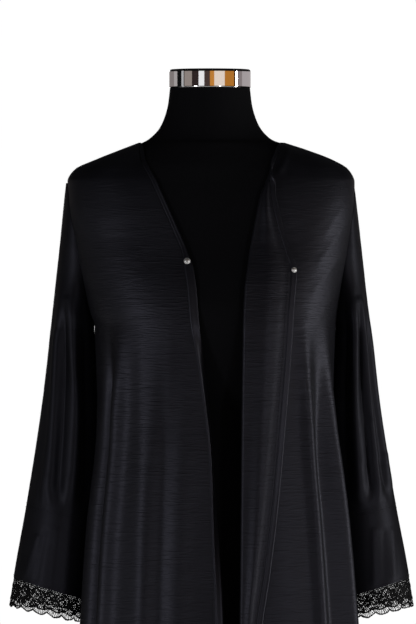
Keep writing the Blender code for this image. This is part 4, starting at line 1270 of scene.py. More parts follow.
@dataclass(frozen=True)
class JerseyCover:
    """Black cotton jersey drawn tight over a foam torso: matt, with a faint nap along its ribs and painted
    shade between them.

    Its stitches are 0.6 mm wide and are drawn three times coarser, so that they show.
    """

    name: str
    # deep is the tone between the ribs and raised the tone on them: painted shade.
    deep: str = "#020204"
    raised: str = "#06060a"
    rib_mm: Spot = (1.8, 5.0)
    roughness: float = 0.85

    def build(self) -> Any:
        """Makes the material on Object coordinates."""
        material, tree, shader = new_finish(self.name)
        across, along_rib = self.rib_mm
        # The knit's noise drives both the bump and the colour, so the hollows between ribs get the deep tone:
        # painted shade.
        knit = noise(tree, object_place(tree), (1000 / across, 1000 / across, 1000 / along_rib), 2.0)
        inputs = {
            "Base Color": two_tones(tree, knit, self.deep, self.raised),
            "Normal": bump(tree, knit, 0.0003),
            "Roughness": self.roughness,
            "Specular IOR Level": 0.12,
        }
        set_inputs(tree, shader, inputs)
        return material


@dataclass(frozen=True)
class MattPaint:
    """Matt wall paint, rolled on, pale and without gloss."""

    name: str
    colour: str

    def build(self) -> Any:
        """Makes the material on Object coordinates."""
        material, tree, shader = new_finish(self.name)
        nap = noise(tree, object_place(tree), 120.0, 2.0)
        inputs = {"Base Color": linear(self.colour), "Normal": bump(tree, nap, 0.0002), "Roughness": 0.85}
        set_inputs(tree, shader, inputs)
        return material


# Pieces that repeat, grown by node trees


def new_tree(name: str, sizes: dict[str, float | int]) -> tuple[Any, Any, Any]:
    """An empty geometry tree with named sizes.

    Args:
        name: the tree's name.
        sizes: its size inputs by name; a whole number makes a whole-number input.

    Returns:
        The tree and its input and output nodes.
    """
    tree = bpy.data.node_groups.new(name, "GeometryNodeTree")
    tree.interface.new_socket("Geometry", in_out="INPUT", socket_type="NodeSocketGeometry")
    for size, value in sizes.items():
        kind = "NodeSocketInt" if isinstance(value, int) else "NodeSocketFloat"
        tree.interface.new_socket(size, in_out="INPUT", socket_type=kind).default_value = value
    tree.interface.new_socket("Geometry", in_out="OUTPUT", socket_type="NodeSocketGeometry")
    return tree, add_node(tree, "NodeGroupInput"), add_node(tree, "NodeGroupOutput")


def finish_tree(tree: Any, out: Any, instances: Any, material: Any) -> None:
    """Ends a tree in Realize Instances and Set Material."""
    real = add_node(tree, "GeometryNodeRealizeInstances", {"Geometry": instances})
    dressed = add_node(tree, "GeometryNodeSetMaterial", {"Geometry": real.outputs[0], "Material": material})
    tree.links.new(dressed.outputs[0], out.inputs[0])


def grow(name: str, source: Any, tree: Any, sizes: dict[str, float | int], material: Any) -> Any:
    """Runs a tree on an object and keeps the result as a plain mesh.

    Args:
        name: the new object's name.
        source: the object that the tree starts from, which is removed.
        tree: the tree.
        sizes: values for its named inputs.
        material: the result's finish.

    Returns:
        The new object.
    """
    modifier = source.modifiers.new(name, "NODES")
    modifier.node_group = tree
    for item in tree.interface.items_tree:
        if item.item_type == "SOCKET" and item.in_out == "INPUT" and item.name in sizes:
            modifier[item.identifier] = sizes[item.name]
    graph = bpy.context.evaluated_depsgraph_get()
    mesh = bpy.data.meshes.new_from_object(source.evaluated_get(graph))
    source.modifiers.remove(modifier)
    bpy.data.objects.remove(source)
    mesh.name = name
    mesh.materials.clear()
    mesh.materials.append(material)
    return add_object(name, mesh)


@dataclass
class StitchLine:
    """A row of lockstitches along a seam."""

    thread: Any
    pitch: float = 0.0032
    length: float = 0.0023
    radius: float = 0.00028

    @property
    def sizes(self) -> dict[str, float | int]:
        """The values of the tree's inputs."""
        return {"Stitch pitch": self.pitch, "Stitch length": self.length, "Thread radius": self.radius}

    def tree(self) -> Any:
        """The tree that lays small rounded stitches along a path."""
        tree, given, out = new_tree("stitches", self.sizes)
        pitch, length, radius = (given.outputs[name] for name in self.sizes)
        path = add_node(tree, "GeometryNodeMeshToCurve", {"Mesh": given.outputs["Geometry"]}).outputs[0]
        even = add_node(tree, "GeometryNodeResampleCurve", {"Curve": path, "Length": pitch}, mode="LENGTH")
        grain = add_node(tree, "GeometryNodeMeshUVSphere", {"Segments": 6, "Rings": 4, "Radius": 1.0})
        size = {"X": radius, "Y": radius, "Z": maths(tree, "MULTIPLY", length, 0.5)}
        tangent = add_node(tree, "GeometryNodeInputTangent").outputs[0]
        laid = {
            "Points": even.outputs[0],
            "Instance": grain.outputs[0],
            "Rotation": add_node(
                tree, "FunctionNodeAlignRotationToVector", {"Vector": tangent}, axis="Z"
            ).outputs[0],
            "Scale": add_node(tree, "ShaderNodeCombineXYZ", size).outputs[0],
        }
        finish_tree(tree, out, add_node(tree, "GeometryNodeInstanceOnPoints", laid).outputs[0], self.thread)
        return tree

    def sew(self, name: str, paths: Sequence[np.ndarray]) -> Any:
        """Sews along one or more paths.

        Args:
            name: the piece's name.
            paths: points along each seam, in metres.

        Returns:
            The stitches as one object.
        """
        points, edges = [], []
        for path in paths:
            start = len(points)
            points += [tuple(map(float, p)) for p in path]
            edges += [(i, i + 1) for i in range(start, len(points) - 1)]
        mesh = bpy.data.meshes.new(name)
        mesh.from_pydata(points, edges, [])
        return grow(name, add_object(name + "_path", mesh), self.tree(), self.sizes, self.thread)


def along(surface: Callable[[float, Any], Any], rows: Any, share: float, off: float) -> np.ndarray:
    """A path down a surface at one share, standing off it towards the viewer's side.

    Args:
        surface: gives points at a height and shares.
        rows: heights of the path's points.
        share: where on each row.
        off: how far outside the middle surface.

    Returns:
        The points.
    """
    places = (place_on(surface, float(z), share) for z in rows)
    return np.array([point + normal * off for point, normal in places])


def place_on(surface: Callable[[float, Any], Any], z: float, share: float) -> tuple[np.ndarray, np.ndarray]:
    """A point of a surface and its unit normal towards the front."""
    probe, probe_down = 0.002, 0.0008
    three = surface(z, np.array([share - probe, share, share + probe]))
    down = surface(z - probe_down, np.array([share]))[0] - surface(z + probe_down, np.array([share]))[0]
    normal = unit(np.cross(three[2] - three[0], down))
    return three[1], normal if normal[1] < 0 else -normal


def dress(piece: Any, slot: str, *nodes: str) -> Any:
    """Lets a finished piece ride on the body and hides the nodes that it stands for."""
    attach(piece, BODY)
    if nodes:
        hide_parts(*nodes)
    LOG.info("%s: %d faces", piece.name, len(piece.data.polygons))
    return piece


# The garment


@dataclass(frozen=True)
class Cut:
    """A piece laid flat, without seam allowances: its greatest width and length, and its area, in metres."""

    width: float
    length: float
    area: float


class Panel(NamedTuple):
    """One panel: its piece, its node, its surface, its faces across, creases, crinkle, crown and cut."""

    name: str
    node: str
    surface: Callable[[float, Any], Any]
    columns: int
    creases: Sequence[Crease]
    crinkle: Crinkle
    crown: float
    cut: Cut


@dataclass
class BodyPanels:
    """The right front, the left front with its lapel and the back."""

    cloth: BodyCloth
    edges: FrontEdges
    row_step: float = 0.0040
    right_columns: int = 96
    left_columns: int = 132
    back_columns: int = 108
    edge_reach: float = 0.016
    lapel_crown: float = 0.0042
    crown_share: float = 0.885
    crown_spread: float = 0.068
    yoke_crinkle: float = 0.30
    yoke_line: float = 1.40
    yoke_ease: float = 0.14
    dense_rows: tuple[tuple[float, float, int], ...] = (
        (SHOULDER_TIP + 0.004, SHOULDER_TIP - 0.008, 10),
        (UNDERARM + 0.008, UNDERARM - 0.003, 9),
    )
    dense_clear: float = 0.0015
    right_cut: Cut = Cut(0.427, 1.488, 0.442)
    left_cut: Cut = Cut(0.376, 1.485, 0.446)
    back_cut: Cut = Cut(0.785, 1.488, 0.854)
    right_creases: tuple[Crease, ...] = table(
        Crease,
        (((-0.100, 1.240), (-0.100, 0.950), (-0.102, 0.741)), 0.0008, 0.009, 0.16),
        (((-0.058, 1.220), (-0.060, 0.900), (-0.062, 0.741)), 0.0006, 0.008, 0.14),
        (((-0.196, 1.330), (-0.176, 1.262), (-0.160, 1.214)), 0.0004, 0.006),
    )
    left_creases: tuple[Crease, ...] = table(
        Crease,
        (((0.115, 1.440), (0.103, 1.409)), 0.0018, 0.0060),
        (((0.123, 1.443), (0.138, 1.430)), -0.0004, 0.0035),
        (((0.200, 1.330), (0.158, 1.273)), 0.0005, 0.0050),
        (((0.197, 1.291), (0.150, 1.230)), 0.0005, 0.0050),
        (((0.193, 1.247), (0.158, 1.191)), 0.0005, 0.0050),
        (((0.198, 1.357), (0.169, 1.318)), 0.0004, 0.0050),
        (((0.112, 1.291), (0.119, 1.273)), 0.0012, 0.0035),
    )

    def rows(self) -> np.ndarray:
        """Heights of the rows, closer together where the armhole ends."""
        rows = np.arange(NECK_SEAM, HEM, -self.row_step)
        for top, bottom, count in self.dense_rows:
            kept = rows[(rows > top + self.dense_clear) | (rows < bottom - self.dense_clear)]
            rows = np.concatenate([kept, np.linspace(top, bottom, count)])
        return np.unique(np.append(rows, HEM))[::-1]

    def back(self, z: float, share: Any) -> Any:
        """The back, from the right side through the centre back to the left one."""
        share = np.asarray(share, float)
        made = np.empty((len(share), 3))
        for side, chosen in ((R, share < 0.5), (L, share >= 0.5)):
            run = np.abs(2 * share[chosen] - 1) * self.cloth.side_limit(z, side, B)
            made[chosen] = self.cloth.points(z, side, B, run)
        return made

    def piece(self, panel: Panel, finish: Callable[[str], Any]) -> Any:
        """Cuts one panel, creases and crinkles it and gives it its wall.

        Args:
            panel: its values.
            finish: gives the crepe of a node's slot.

        Returns:
            The panel's piece.
        """
        grid = ClothGrid.cut(panel.surface, self.rows(), panel.columns)
        turned = hump(np.linspace(0.0, 1.0, panel.columns + 1) - self.crown_share, self.crown_spread)
        relief = grid.creased(panel.creases)
        below_yoke = smooth((self.yoke_line - grid.points[..., 2]) / self.yoke_ease)
        rippled = self.yoke_crinkle + (1 - self.yoke_crinkle) * below_yoke
        relief = relief + panel.crinkle.relief(grid.weave) * rippled - panel.crown * turned
        LOG.info("%s measures %.3f square metres", panel.name, grid.area())
        grid.move(relief * grid.edge_fade(self.edge_reach))
        slot = f"{panel.node}_cloth"
        return dress(grid.wall(panel.name, WALL, finish(slot)), slot, panel.node)

    def build(self, finish: Callable[[str], Any]) -> list[tuple[Any, Cut]]:
        """Builds the three panels.

        Args:
            finish: gives the crepe of a node's slot.

        Returns:
            Each panel with its cut.
        """
        right, left = self.edges.right_front, self.edges.left_front
        panels = table(
            Panel,
            (
                "right_front_panel", "right_front", right, self.right_columns,
                self.right_creases, Crinkle(11), 0.0, self.right_cut,
            ),
            (
                "left_front_panel", "left_front", left, self.left_columns,
                self.left_creases, Crinkle(23), self.lapel_crown, self.left_cut,
            ),
            (
                "back_panel_cloth", "back_panel", self.back, self.back_columns,
                (), Crinkle(37), 0.0, self.back_cut,
            ),
        )
        return [(self.piece(panel, finish), panel.cut) for panel in panels]


@dataclass
class EdgeBindings:
    """The satin bindings of both front edges and of the neck."""

    edges: FrontEdges
    row_step: float = 0.0055
    columns: int = 12
    neck_columns: int = 120
    bead: float = 0.0009
    right_cut: Cut = Cut(0.0130, 1.444, 0.0174)
    left_cut: Cut = Cut(0.0100, 1.436, 0.0128)
    neck_cut: Cut = Cut(0.423, 0.022, 0.0033)

    def build(self, finish: Callable[[str], Any]) -> list[tuple[Any, Cut]]:
        """Builds the three bindings.

        Args:
            finish: gives the crepe of a node's slot.

        Returns:
            Each binding with its cut.
        """
        rows = np.append(np.arange(NECK_SEAM, HEM, -self.row_step), HEM)
        made = []
        for word, surface, cut in (
            ("right", self.edges.right_band, self.right_cut),
            ("left", self.edges.left_band, self.left_cut),
        ):
            grid = ClothGrid.cut(surface, rows, self.columns)
            LOG.info("%s binding measures %.4f square metres", word, grid.area())
            slot = f"{word}_front_band_cloth"
            piece = grid.binding(f"{word}_front_binding", BAND_WALL, self.bead, finish(slot))
            made.append((dress(piece, slot, f"{word}_front_band"), cut))
        neck_rows = np.linspace(NECK_TOP, NECK_SEAM + SEAM, 4)
        grid = ClothGrid.cut(self.edges.neck_band, neck_rows, self.neck_columns)
        LOG.info("neck binding measures %.4f square metres", grid.area())
        piece = grid.wall("neck_binding", WALL, finish("neck_band_cloth"))
        made.append((dress(piece, "neck_band_cloth", "neck_band"), self.neck_cut))
        return made


# Spans of rows down a sleeve, closer together at its head, and down a cuff: from, to and how many
SLEEVE_ROWS = (
    (SHOULDER_TIP - 0.0028, 1.3760, 12),
    (1.3735, UNDERARM + 0.0015, 66),
    (UNDERARM - 0.0040, CUFF_SEAM + SEAM / 2, 92),
)
CUFF_ROWS = ((CUFF_SEAM - SEAM / 2, SLEEVE_HEM + SEAM / 2, 42),)
SLEEVE_CREASES = {
    R: table(
        Crease,
        (((-0.227, 1.170), (-0.229, 1.060), (-0.231, 0.925)), 0.0014, 0.0050),
        (((-0.210, 1.218), (-0.203, 1.144), (-0.194, 1.071), (-0.190, 0.940)), 0.0016, 0.0050),
        (((-0.252, 0.960), (-0.254, 0.915)), 0.0010, 0.0022),
        (((-0.244, 0.960), (-0.246, 0.915)), 0.0010, 0.0022),
        (((-0.236, 0.960), (-0.237, 0.915)), 0.0010, 0.0022),
        (((-0.210, 0.960), (-0.210, 0.915)), 0.0010, 0.0022),
    ),
    L: table(
        Crease,
        (((0.216, 1.218), (0.213, 1.130), (0.211, 1.041), (0.215, 0.930)), 0.0016, 0.0045),
        (((0.224, 1.218), (0.225, 0.982)), 0.0012, 0.0040),
        (((0.235, 1.041), (0.237, 0.925)), 0.0013, 0.0040),
        (((0.257, 0.990), (0.257, 0.925)), 0.0012, 0.0040),
        (((0.248, 0.982), (0.253, 0.925)), -0.0012, 0.0035),
    ),
}
CUFF_CREASES = {
    R: table(
        Crease,
        (((-0.253, 0.871), (-0.273, 0.806)), 0.0014, 0.0040),
        (((-0.241, 0.880), (-0.256, 0.799)), -0.0012, 0.0040),
        (((-0.222, 0.880), (-0.230, 0.800)), 0.0010, 0.0045),
    ),
    L: table(
        Crease,
        (((0.240, 0.880), (0.240, 0.800)), 0.0013, 0.0040),
        (((0.267, 0.880), (0.269, 0.806)), 0.0013, 0.0040),
        (((0.254, 0.880), (0.255, 0.802)), -0.0010, 0.0040),
    ),
}


@dataclass
class Sleeves:
    """Both sleeves and their cuffs."""

    shape: SleeveShape
    columns: int = 96
    edge_reach: float = 0.012
    sleeve_cut: Cut = Cut(0.324, 0.518, 0.103)
    cuff_cut: Cut = Cut(0.353, 0.119, 0.0376)
    crinkle_size: tuple[float, float, float] = (0.00012, 0.05, 0.010)
    crinkle_seed: ClassVar[dict[Side, int]] = {R: 51, L: 67}

    def piece(
        self, side: Side, part: str, spans: tuple, creases: Sequence[Crease], finish: Callable[[str], Any]
    ) -> Any:
        """Builds a sleeve or a cuff.

        Args:
            side: whose it is.
            part: sleeve or cuff.
            spans: its spans of rows.
            creases: its small folds.
            finish: gives the crepe of a node's slot.

        Returns:
            The piece.
        """
        name = f"{side.word}_{part}"
        rows = np.concatenate([np.linspace(*span) for span in spans])
        grid = ClothGrid.cut(lambda z, share: self.shape.tube(z, share, side), rows, self.columns, UNDERARM)
        crinkle = Crinkle(self.crinkle_seed[side], *self.crinkle_size)
        LOG.info("%s measures %.4f square metres", name, grid.area())
        relief = grid.creased(creases) + crinkle.relief(grid.weave)
        grid.move(relief * grid.edge_fade(self.edge_reach))
        return dress(grid.wall(name + "_cloth", WALL, finish(name + "_cloth")), name + "_cloth", name)

    def build(self, finish: Callable[[str], Any]) -> list[tuple[Any, Cut]]:
        """Builds both sleeves and both cuffs.

        Args:
            finish: gives the crepe of a node's slot.

        Returns:
            Each piece with its cut.
        """
        made = []
        for side in Side:
            sleeve = self.piece(side, "sleeve", SLEEVE_ROWS, SLEEVE_CREASES[side], finish)
            cuff = self.piece(side, "cuff", CUFF_ROWS, CUFF_CREASES[side], finish)
            made += [(sleeve, self.sleeve_cut), (cuff, self.cuff_cut)]
        return made


@dataclass
class LaceEdging:
    """Corded floral lace below a cuff: a net, flowers, leaves and a scalloped cord.

    One repeat is made flat, repeated along a line by a node tree and then
    bent round the sleeve. The threads of such lace are about 0.3 mm and are
    drawn two to three times thicker, so that they show. A flower is its share
    of the repeat, depth, radius and petals, and a leaf its share, depth and turn.
    """

    shape: SleeveShape
    repeats: int = 16
    depth: float = 0.0320
    drop: float = 0.0050
    heading: float = 0.0008
    net_top: float = 0.0034
    net_across: int = 8
    net_down: float = 0.0026
    net_stray: float = 0.0008
    net_past_edge: float = 0.0016
    thread: float = 0.00075
    thread_thick: float = 0.00012
    thread_at_top: float = 1.45
    thread_taper: float = 0.65
    heading_wide: Spot = (0.0016, 0.0008)
    heading_thick: float = 0.0006
    petal_shares: Spot = (0.62, 0.42)
    heart_share: float = 0.26
    petal_thick: float = 0.0009
    leaf_size: Spot = (0.0038, 0.0018)
    leaf_thick: float = 0.0013
    cord_steps: int = 14
    cord_thick: float = 0.0010
    bead_size: Spot = (0.0009, 0.0008)
    bead_thick: float = 0.0011
    cord: float = 0.0019
    ripple: float = 0.0022
    stray: float = 0.0010
    stray_size: Spot = (0.0052, 0.0047)
    flowers: tuple[tuple[float, float, float, int], ...] = (
        (0.5, 0.0170, 0.0044, 6),
        (0.0, 0.0232, 0.0030, 5),
    )
    leaves: tuple[tuple[float, float, float], ...] = (
        (0.15, 0.0105, 0.7),
        (0.85, 0.0105, -0.7),
        (0.22, 0.0265, -0.5),
        (0.78, 0.0265, 0.5),
    )
    cut: Cut = Cut(0.353, 0.037, 0.0126)

    def edge(self, x: float, pitch: float) -> float:
        """How deep the lace hangs at this place along its repeat."""
        return self.depth + self.drop * abs(math.sin(math.pi * x / pitch)) ** 0.7

    def bar(self, a: Spot, b: Spot, width: float, thick: float) -> tuple[Any, Any]:
        """A thread between two points of the flat lace, as corners and faces."""
        start, end = np.array(a), np.array(b)
        way = (end - start) / max(float(np.linalg.norm(end - start)), 1e-9)
        side = np.array([-way[1], way[0]]) * width / 2
        flat = [start + side, start - side, end - side, end + side]
        corners = [(*p, s * thick / 2) for s in (1, -1) for p in flat]
        faces = [[0, 1, 2, 3], [7, 6, 5, 4], [1, 0, 4, 5], [2, 1, 5, 6], [3, 2, 6, 7], [0, 3, 7, 4]]
        return corners, faces

    def petal(self, at: Spot, size: Spot, turn: float, thick: float) -> tuple[Any, Any]:
        """A filled, slightly domed leaf of closely worked thread, as corners and faces."""
        steps = 10
        angles = np.arange(steps) * 2 * math.pi / steps
        flat = np.column_stack([size[0] * np.cos(angles), size[1] * np.sin(angles)])
        spin = np.array([[math.cos(turn), math.sin(turn)], [-math.sin(turn), math.cos(turn)]])
        rim = flat @ spin + at
        corners = [(*p, way * thick * 0.3) for way in (1, -1) for p in rim]
        corners += [(*at, way * thick / 2) for way in (1, -1)]
        faces = []
        for i in range(steps):
            j = (i + 1) % steps
            faces += [[i, j, 2 * steps], [steps + j, steps + i, 2 * steps + 1], [j, i, steps + i, steps + j]]
        return corners, faces

    def parts(self, pitch: float) -> list[tuple[Any, Any]]:
        """The threads and leaves of one repeat.

        Args:
            pitch: the repeat's width.

        Returns:
            Corners and faces of each part.
        """
        rng = np.random.default_rng(5)
        parts = []
        count, dx = self.net_across, pitch / self.net_across
        heading, top, levels = self.heading, self.net_top, int(self.depth / self.net_down) + 2
        shift = rng.uniform(-self.net_stray, self.net_stray, (levels + 1, count, 2))

        def node(i: int, j: int) -> Spot:
            off = shift[j, i % count] if j else (0.0, 0.0)
            return (i + 0.5 * (j % 2)) * dx + off[0], top + j * self.net_down + off[1]

        for j in range(levels):
            for i in range(count):
                start = node(i, j)
                for step in (0, 1) if j % 2 else (-1, 0):
                    end = node(i + step, j + 1)
                    if max(start[1], end[1]) < self.edge(end[0] % pitch, pitch) + self.net_past_edge:
                        width = self.thread * (self.thread_at_top - self.thread_taper * j / levels)
                        parts.append(self.bar(start, end, width, self.thread_thick))
        for level, width in zip((heading, top), self.heading_wide):
            for i in range(count):
                parts.append(self.bar((i * dx, level), ((i + 1) * dx, level), width, self.heading_thick))
        for i in range(2 * count):
            x = (i + 0.5) * dx / 2
            parts.append(self.bar((x, heading), (x + 0.0004, top), self.thread, self.thread_thick))
        for x, y, radius, petals in self.flowers:
            for k in range(petals):
                angle = 2 * math.pi * (k + 0.25) / petals
                at = (x * pitch + radius * math.cos(angle), y + radius * math.sin(angle))
                size = (radius * self.petal_shares[0], radius * self.petal_shares[1])
                parts.append(self.petal(at, size, angle, self.petal_thick))
            heart = (radius * self.heart_share, radius * self.heart_share)
            parts.append(self.petal((x * pitch, y), heart, 0.0, self.leaf_thick))
        for x, y, turn in self.leaves:
            parts.append(self.petal((x * pitch, y), self.leaf_size, turn, self.leaf_thick))
        along_rim = [pitch * i / self.cord_steps for i in range(self.cord_steps + 1)]
        rim = [(x, self.edge(x, pitch)) for x in along_rim]
        parts += [self.bar(a, b, self.cord, self.cord_thick) for a, b in zip(rim, rim[1:])]
        for x, y in rim[1:-1:2]:
            parts.append(self.petal((x, y + 0.0006), self.bead_size, 0.0, self.bead_thick))
        return parts

    def motif(self, pitch: float, material: Any) -> Any:
        """One flat repeat as an object."""
        points, faces = [], []
        for corners, made in self.parts(pitch):
            faces += [[i + len(points) for i in face] for face in made]
            points += corners
        return mesh_object("lace_repeat", points, faces, material)

    def strip(self, name: str, pitch: float, material: Any) -> Any:
        """Repeats the motif along a line.

        Args:
            name: the result's name.
            pitch: the repeat's width.
            material: its finish.

        Returns:
            The flat strip.
        """
        sizes: dict[str, float | int] = {"Repeats": self.repeats, "Pitch": pitch}
        motif = self.motif(pitch, material)
        tree, given, out = new_tree("lace_repeats", sizes)
        step = add_node(tree, "ShaderNodeCombineXYZ", {"X": given.outputs["Pitch"]}).outputs[0]
        line = add_node(tree, "GeometryNodeMeshLine", {"Count": given.outputs["Repeats"], "Offset": step})
        one = add_node(tree, "GeometryNodeObjectInfo", {"Object": motif})
        placed = {"Points": line.outputs[0], "Instance": one.outputs["Geometry"]}
        many = add_node(tree, "GeometryNodeInstanceOnPoints", placed)
        finish_tree(tree, out, many.outputs[0], material)
        source = add_object(name + "_line", bpy.data.meshes.new(name + "_line"))
        made = grow(name, source, tree, sizes, material)
        bpy.data.objects.remove(motif)
        return made

    def build(self, side: Side, material: Any) -> tuple[Any, Cut]:
        """Builds one cuff's lace and bends it round the sleeve.

        Args:
            side: whose cuff.
            material: the lace's thread.

        Returns:
            The lace with its cut.
        """
        heights = np.linspace(SLEEVE_HEM - SEAM / 2, SLEEVE_HEM - 0.040, 24)
        angles = np.linspace(math.pi, -math.pi, 241)
        rings = np.stack([self.shape.at(float(z), angles, side) for z in heights])
        run = runs(rings[0])
        pitch = run[-1] / self.repeats
        made = self.strip(f"{side.word}_lace", pitch, material)
        normal = ClothGrid(rings, rings[..., :2], 0).normals()
        flat = np.zeros(len(made.data.vertices) * 3)
        made.data.vertices.foreach_get("co", flat)
        flat = flat.reshape(-1, 3)
        grown = np.clip(flat[:, 1] / self.depth, 0, 1)
        for i, seed in ((0, 71), (1, 72)):
            flat[:, i] += self.stray * grown * Wrinkles(seed, *self.stray_size)(flat[:, 0], flat[:, 1])
        x = flat[:, 0] % run[-1]
        column_at = np.interp(x, run, np.arange(len(run)))
        row_at = flat[:, 1] / (heights[0] - heights[-1]) * (len(heights) - 1)

        def lookup(grid: np.ndarray) -> np.ndarray:
            i = np.clip(np.floor(row_at).astype(int), 0, len(heights) - 2)
            j = np.clip(np.floor(column_at).astype(int), 0, len(run) - 2)
            u, v = (row_at - i)[:, None], (column_at - j)[:, None]
            upper = grid[i, j] * (1 - v) + grid[i, j + 1] * v
            lower = grid[i + 1, j] * (1 - v) + grid[i + 1, j + 1] * v
            return upper * (1 - u) + lower * u

        wave = self.ripple * np.sin(2 * math.pi * flat[:, 0] / pitch) * grown
        bent = lookup(rings) + lookup(normal) * (flat[:, 2] + wave)[:, None]
        made.data.vertices.foreach_set("co", bent.reshape(-1))
        made.data.update()
        front = f"{side.word}_lace_front"
        return dress(made, f"{front}_cloth", front, f"{side.word}_lace_back"), self.cut


# The stud's rim, groove and domed cap, as shares of its radius and of its thickness
STUD_PROFILE = (
    (0.0, 0.0), (0.96, 0.0), (1.0, 0.10), (1.0, 0.26), (0.95, 0.38), (0.86, 0.44), (0.80, 0.40),
    (0.75, 0.42), (0.70, 0.60), (0.58, 0.84), (0.42, 0.95), (0.22, 0.99), (0.0, 1.0),
)  # fmt: skip


@dataclass
class Snaps:
    """The two press studs, one on each front edge."""

    edges: FrontEdges
    right_radius: float = 0.0048
    left_radius: float = 0.0040
    thick: float = 0.0022
    right_z: float = 1.2750
    left_z: float = 1.2620
    right_share: float = 0.45
    left_share: float = 0.50

    def build(self, finish: Callable[[str], Any]) -> None:
        """Builds both studs, each square on its band.

        Args:
            finish: gives the metal of a slot.
        """
        for word, surface, z, share, radius in (
            ("right", self.edges.right_band, self.right_z, self.right_share, self.right_radius),
            ("left", self.edges.left_band, self.left_z, self.left_share, self.left_radius),
        ):
            point, normal = place_on(surface, z, share)
            side = unit(np.cross(normal, [0.0, 0.0, 1.0]))
            frame = np.stack([side, np.cross(normal, side), normal])
            foot = point + normal * (BAND_WALL / 2 + SEAM)
            slot = f"{word}_snap_metal"
            profile = [(out * radius, up * self.thick) for out, up in STUD_PROFILE]
            stud = lathe(f"{word}_press_stud", profile, 40, finish(slot), lambda p: p @ frame + foot)
            dress(stud, slot, f"{word}_snap")


# The dress form and its stand


@dataclass
class DressForm:
    """The limbless torso, smooth through the rings of its tables."""

    cloth: BodyCloth
    seat: float = 0.0016
    sunk: float = 0.003
    sunk_from: float = 1.420
    sunk_ease: float = 0.03
    columns: int = 30
    rows: int = 190
    probe: float = 0.0015
    probe_down: float = 0.0006

    def ring(self, quarter: Callable[[Side, Half, np.ndarray], np.ndarray]) -> np.ndarray:
        """A whole ring from its four quarters, starting at the centre front."""
        share = np.arange(self.columns) / self.columns
        made = []
        for side, half, outwards in ((R, F, True), (R, B, False), (L, B, True), (L, F, False)):
            made.append(quarter(side, half, share if outwards else 1 - share))
        return np.concatenate(made)

    def own_ring(self, section: FormSection) -> np.ndarray:
        """The ring at one of the form's own sections."""

        def quarter(side: Side, half: Half, share: np.ndarray) -> np.ndarray:
            points, _, run = self.cloth.quarter(section.z, side, half, section)
            at = np.stack([np.interp(share * run[-1], run, points[:, i]) for i in (0, 1)], 1)
            return np.column_stack([at, np.full(len(at), section.z)])

        return self.ring(quarter)

    def yoke_ring(self, z: float) -> np.ndarray:
        """The ring just inside the cloth that lies on the shoulders."""
        inset = self.seat + self.sunk * float(smooth((self.sunk_from - z) / self.sunk_ease))

        def quarter(side: Side, half: Half, share: np.ndarray) -> np.ndarray:
            def surface(height: float, at: np.ndarray) -> np.ndarray:
                at = 1 - np.abs(1 - np.abs(at))
                return self.cloth.points(height, side, half, at * self.cloth.length(height, side, half))

            inner = np.clip(share, self.probe, 1 - self.probe)
            points = surface(z, share)
            across = surface(z, inner + self.probe) - surface(z, inner - self.probe)
            down = surface(z - self.probe_down, inner) - surface(z + self.probe_down, inner)
            normal = np.cross(across, down)
            normal[share >= 1, 1] = 0.0
            normal[share <= 0, 0] = 0.0
            normal = unit(normal)
            away = np.sign((normal[:, :2] * points[:, :2]).sum(1))[:, None]
            return points - normal * away * inset

        return self.ring(quarter)

    def build(self, material: Any) -> Any:
        """Builds the torso.

        Args:
            material: its cover.

        Returns:
            The torso.
        """
        rings = [self.own_ring(s) for s in FORM_NECK] + [self.yoke_ring(z) for z in FORM_YOKE]
        rings += [self.own_ring(s) for s in FORM_TRUNK]
        through = Line(list(range(len(rings))), np.stack(rings))
        at = np.linspace(0, len(rings) - 1, self.rows)
        points = np.concatenate([through(t) for t in at])
        count = len(rings[0])
        index = np.arange(len(points)).reshape(self.rows, count)
        right = np.roll(index, -1, axis=1)
        faces = np.stack([right[:-1], index[:-1], index[1:], right[1:]], axis=2).reshape(-1, 4).tolist()
        faces += [index[0].tolist(), index[-1][::-1].tolist()]
        made = mesh_object("torso_shell", points, faces, material, angle=45.0)
        return dress(made, "form_black", "form_torso")


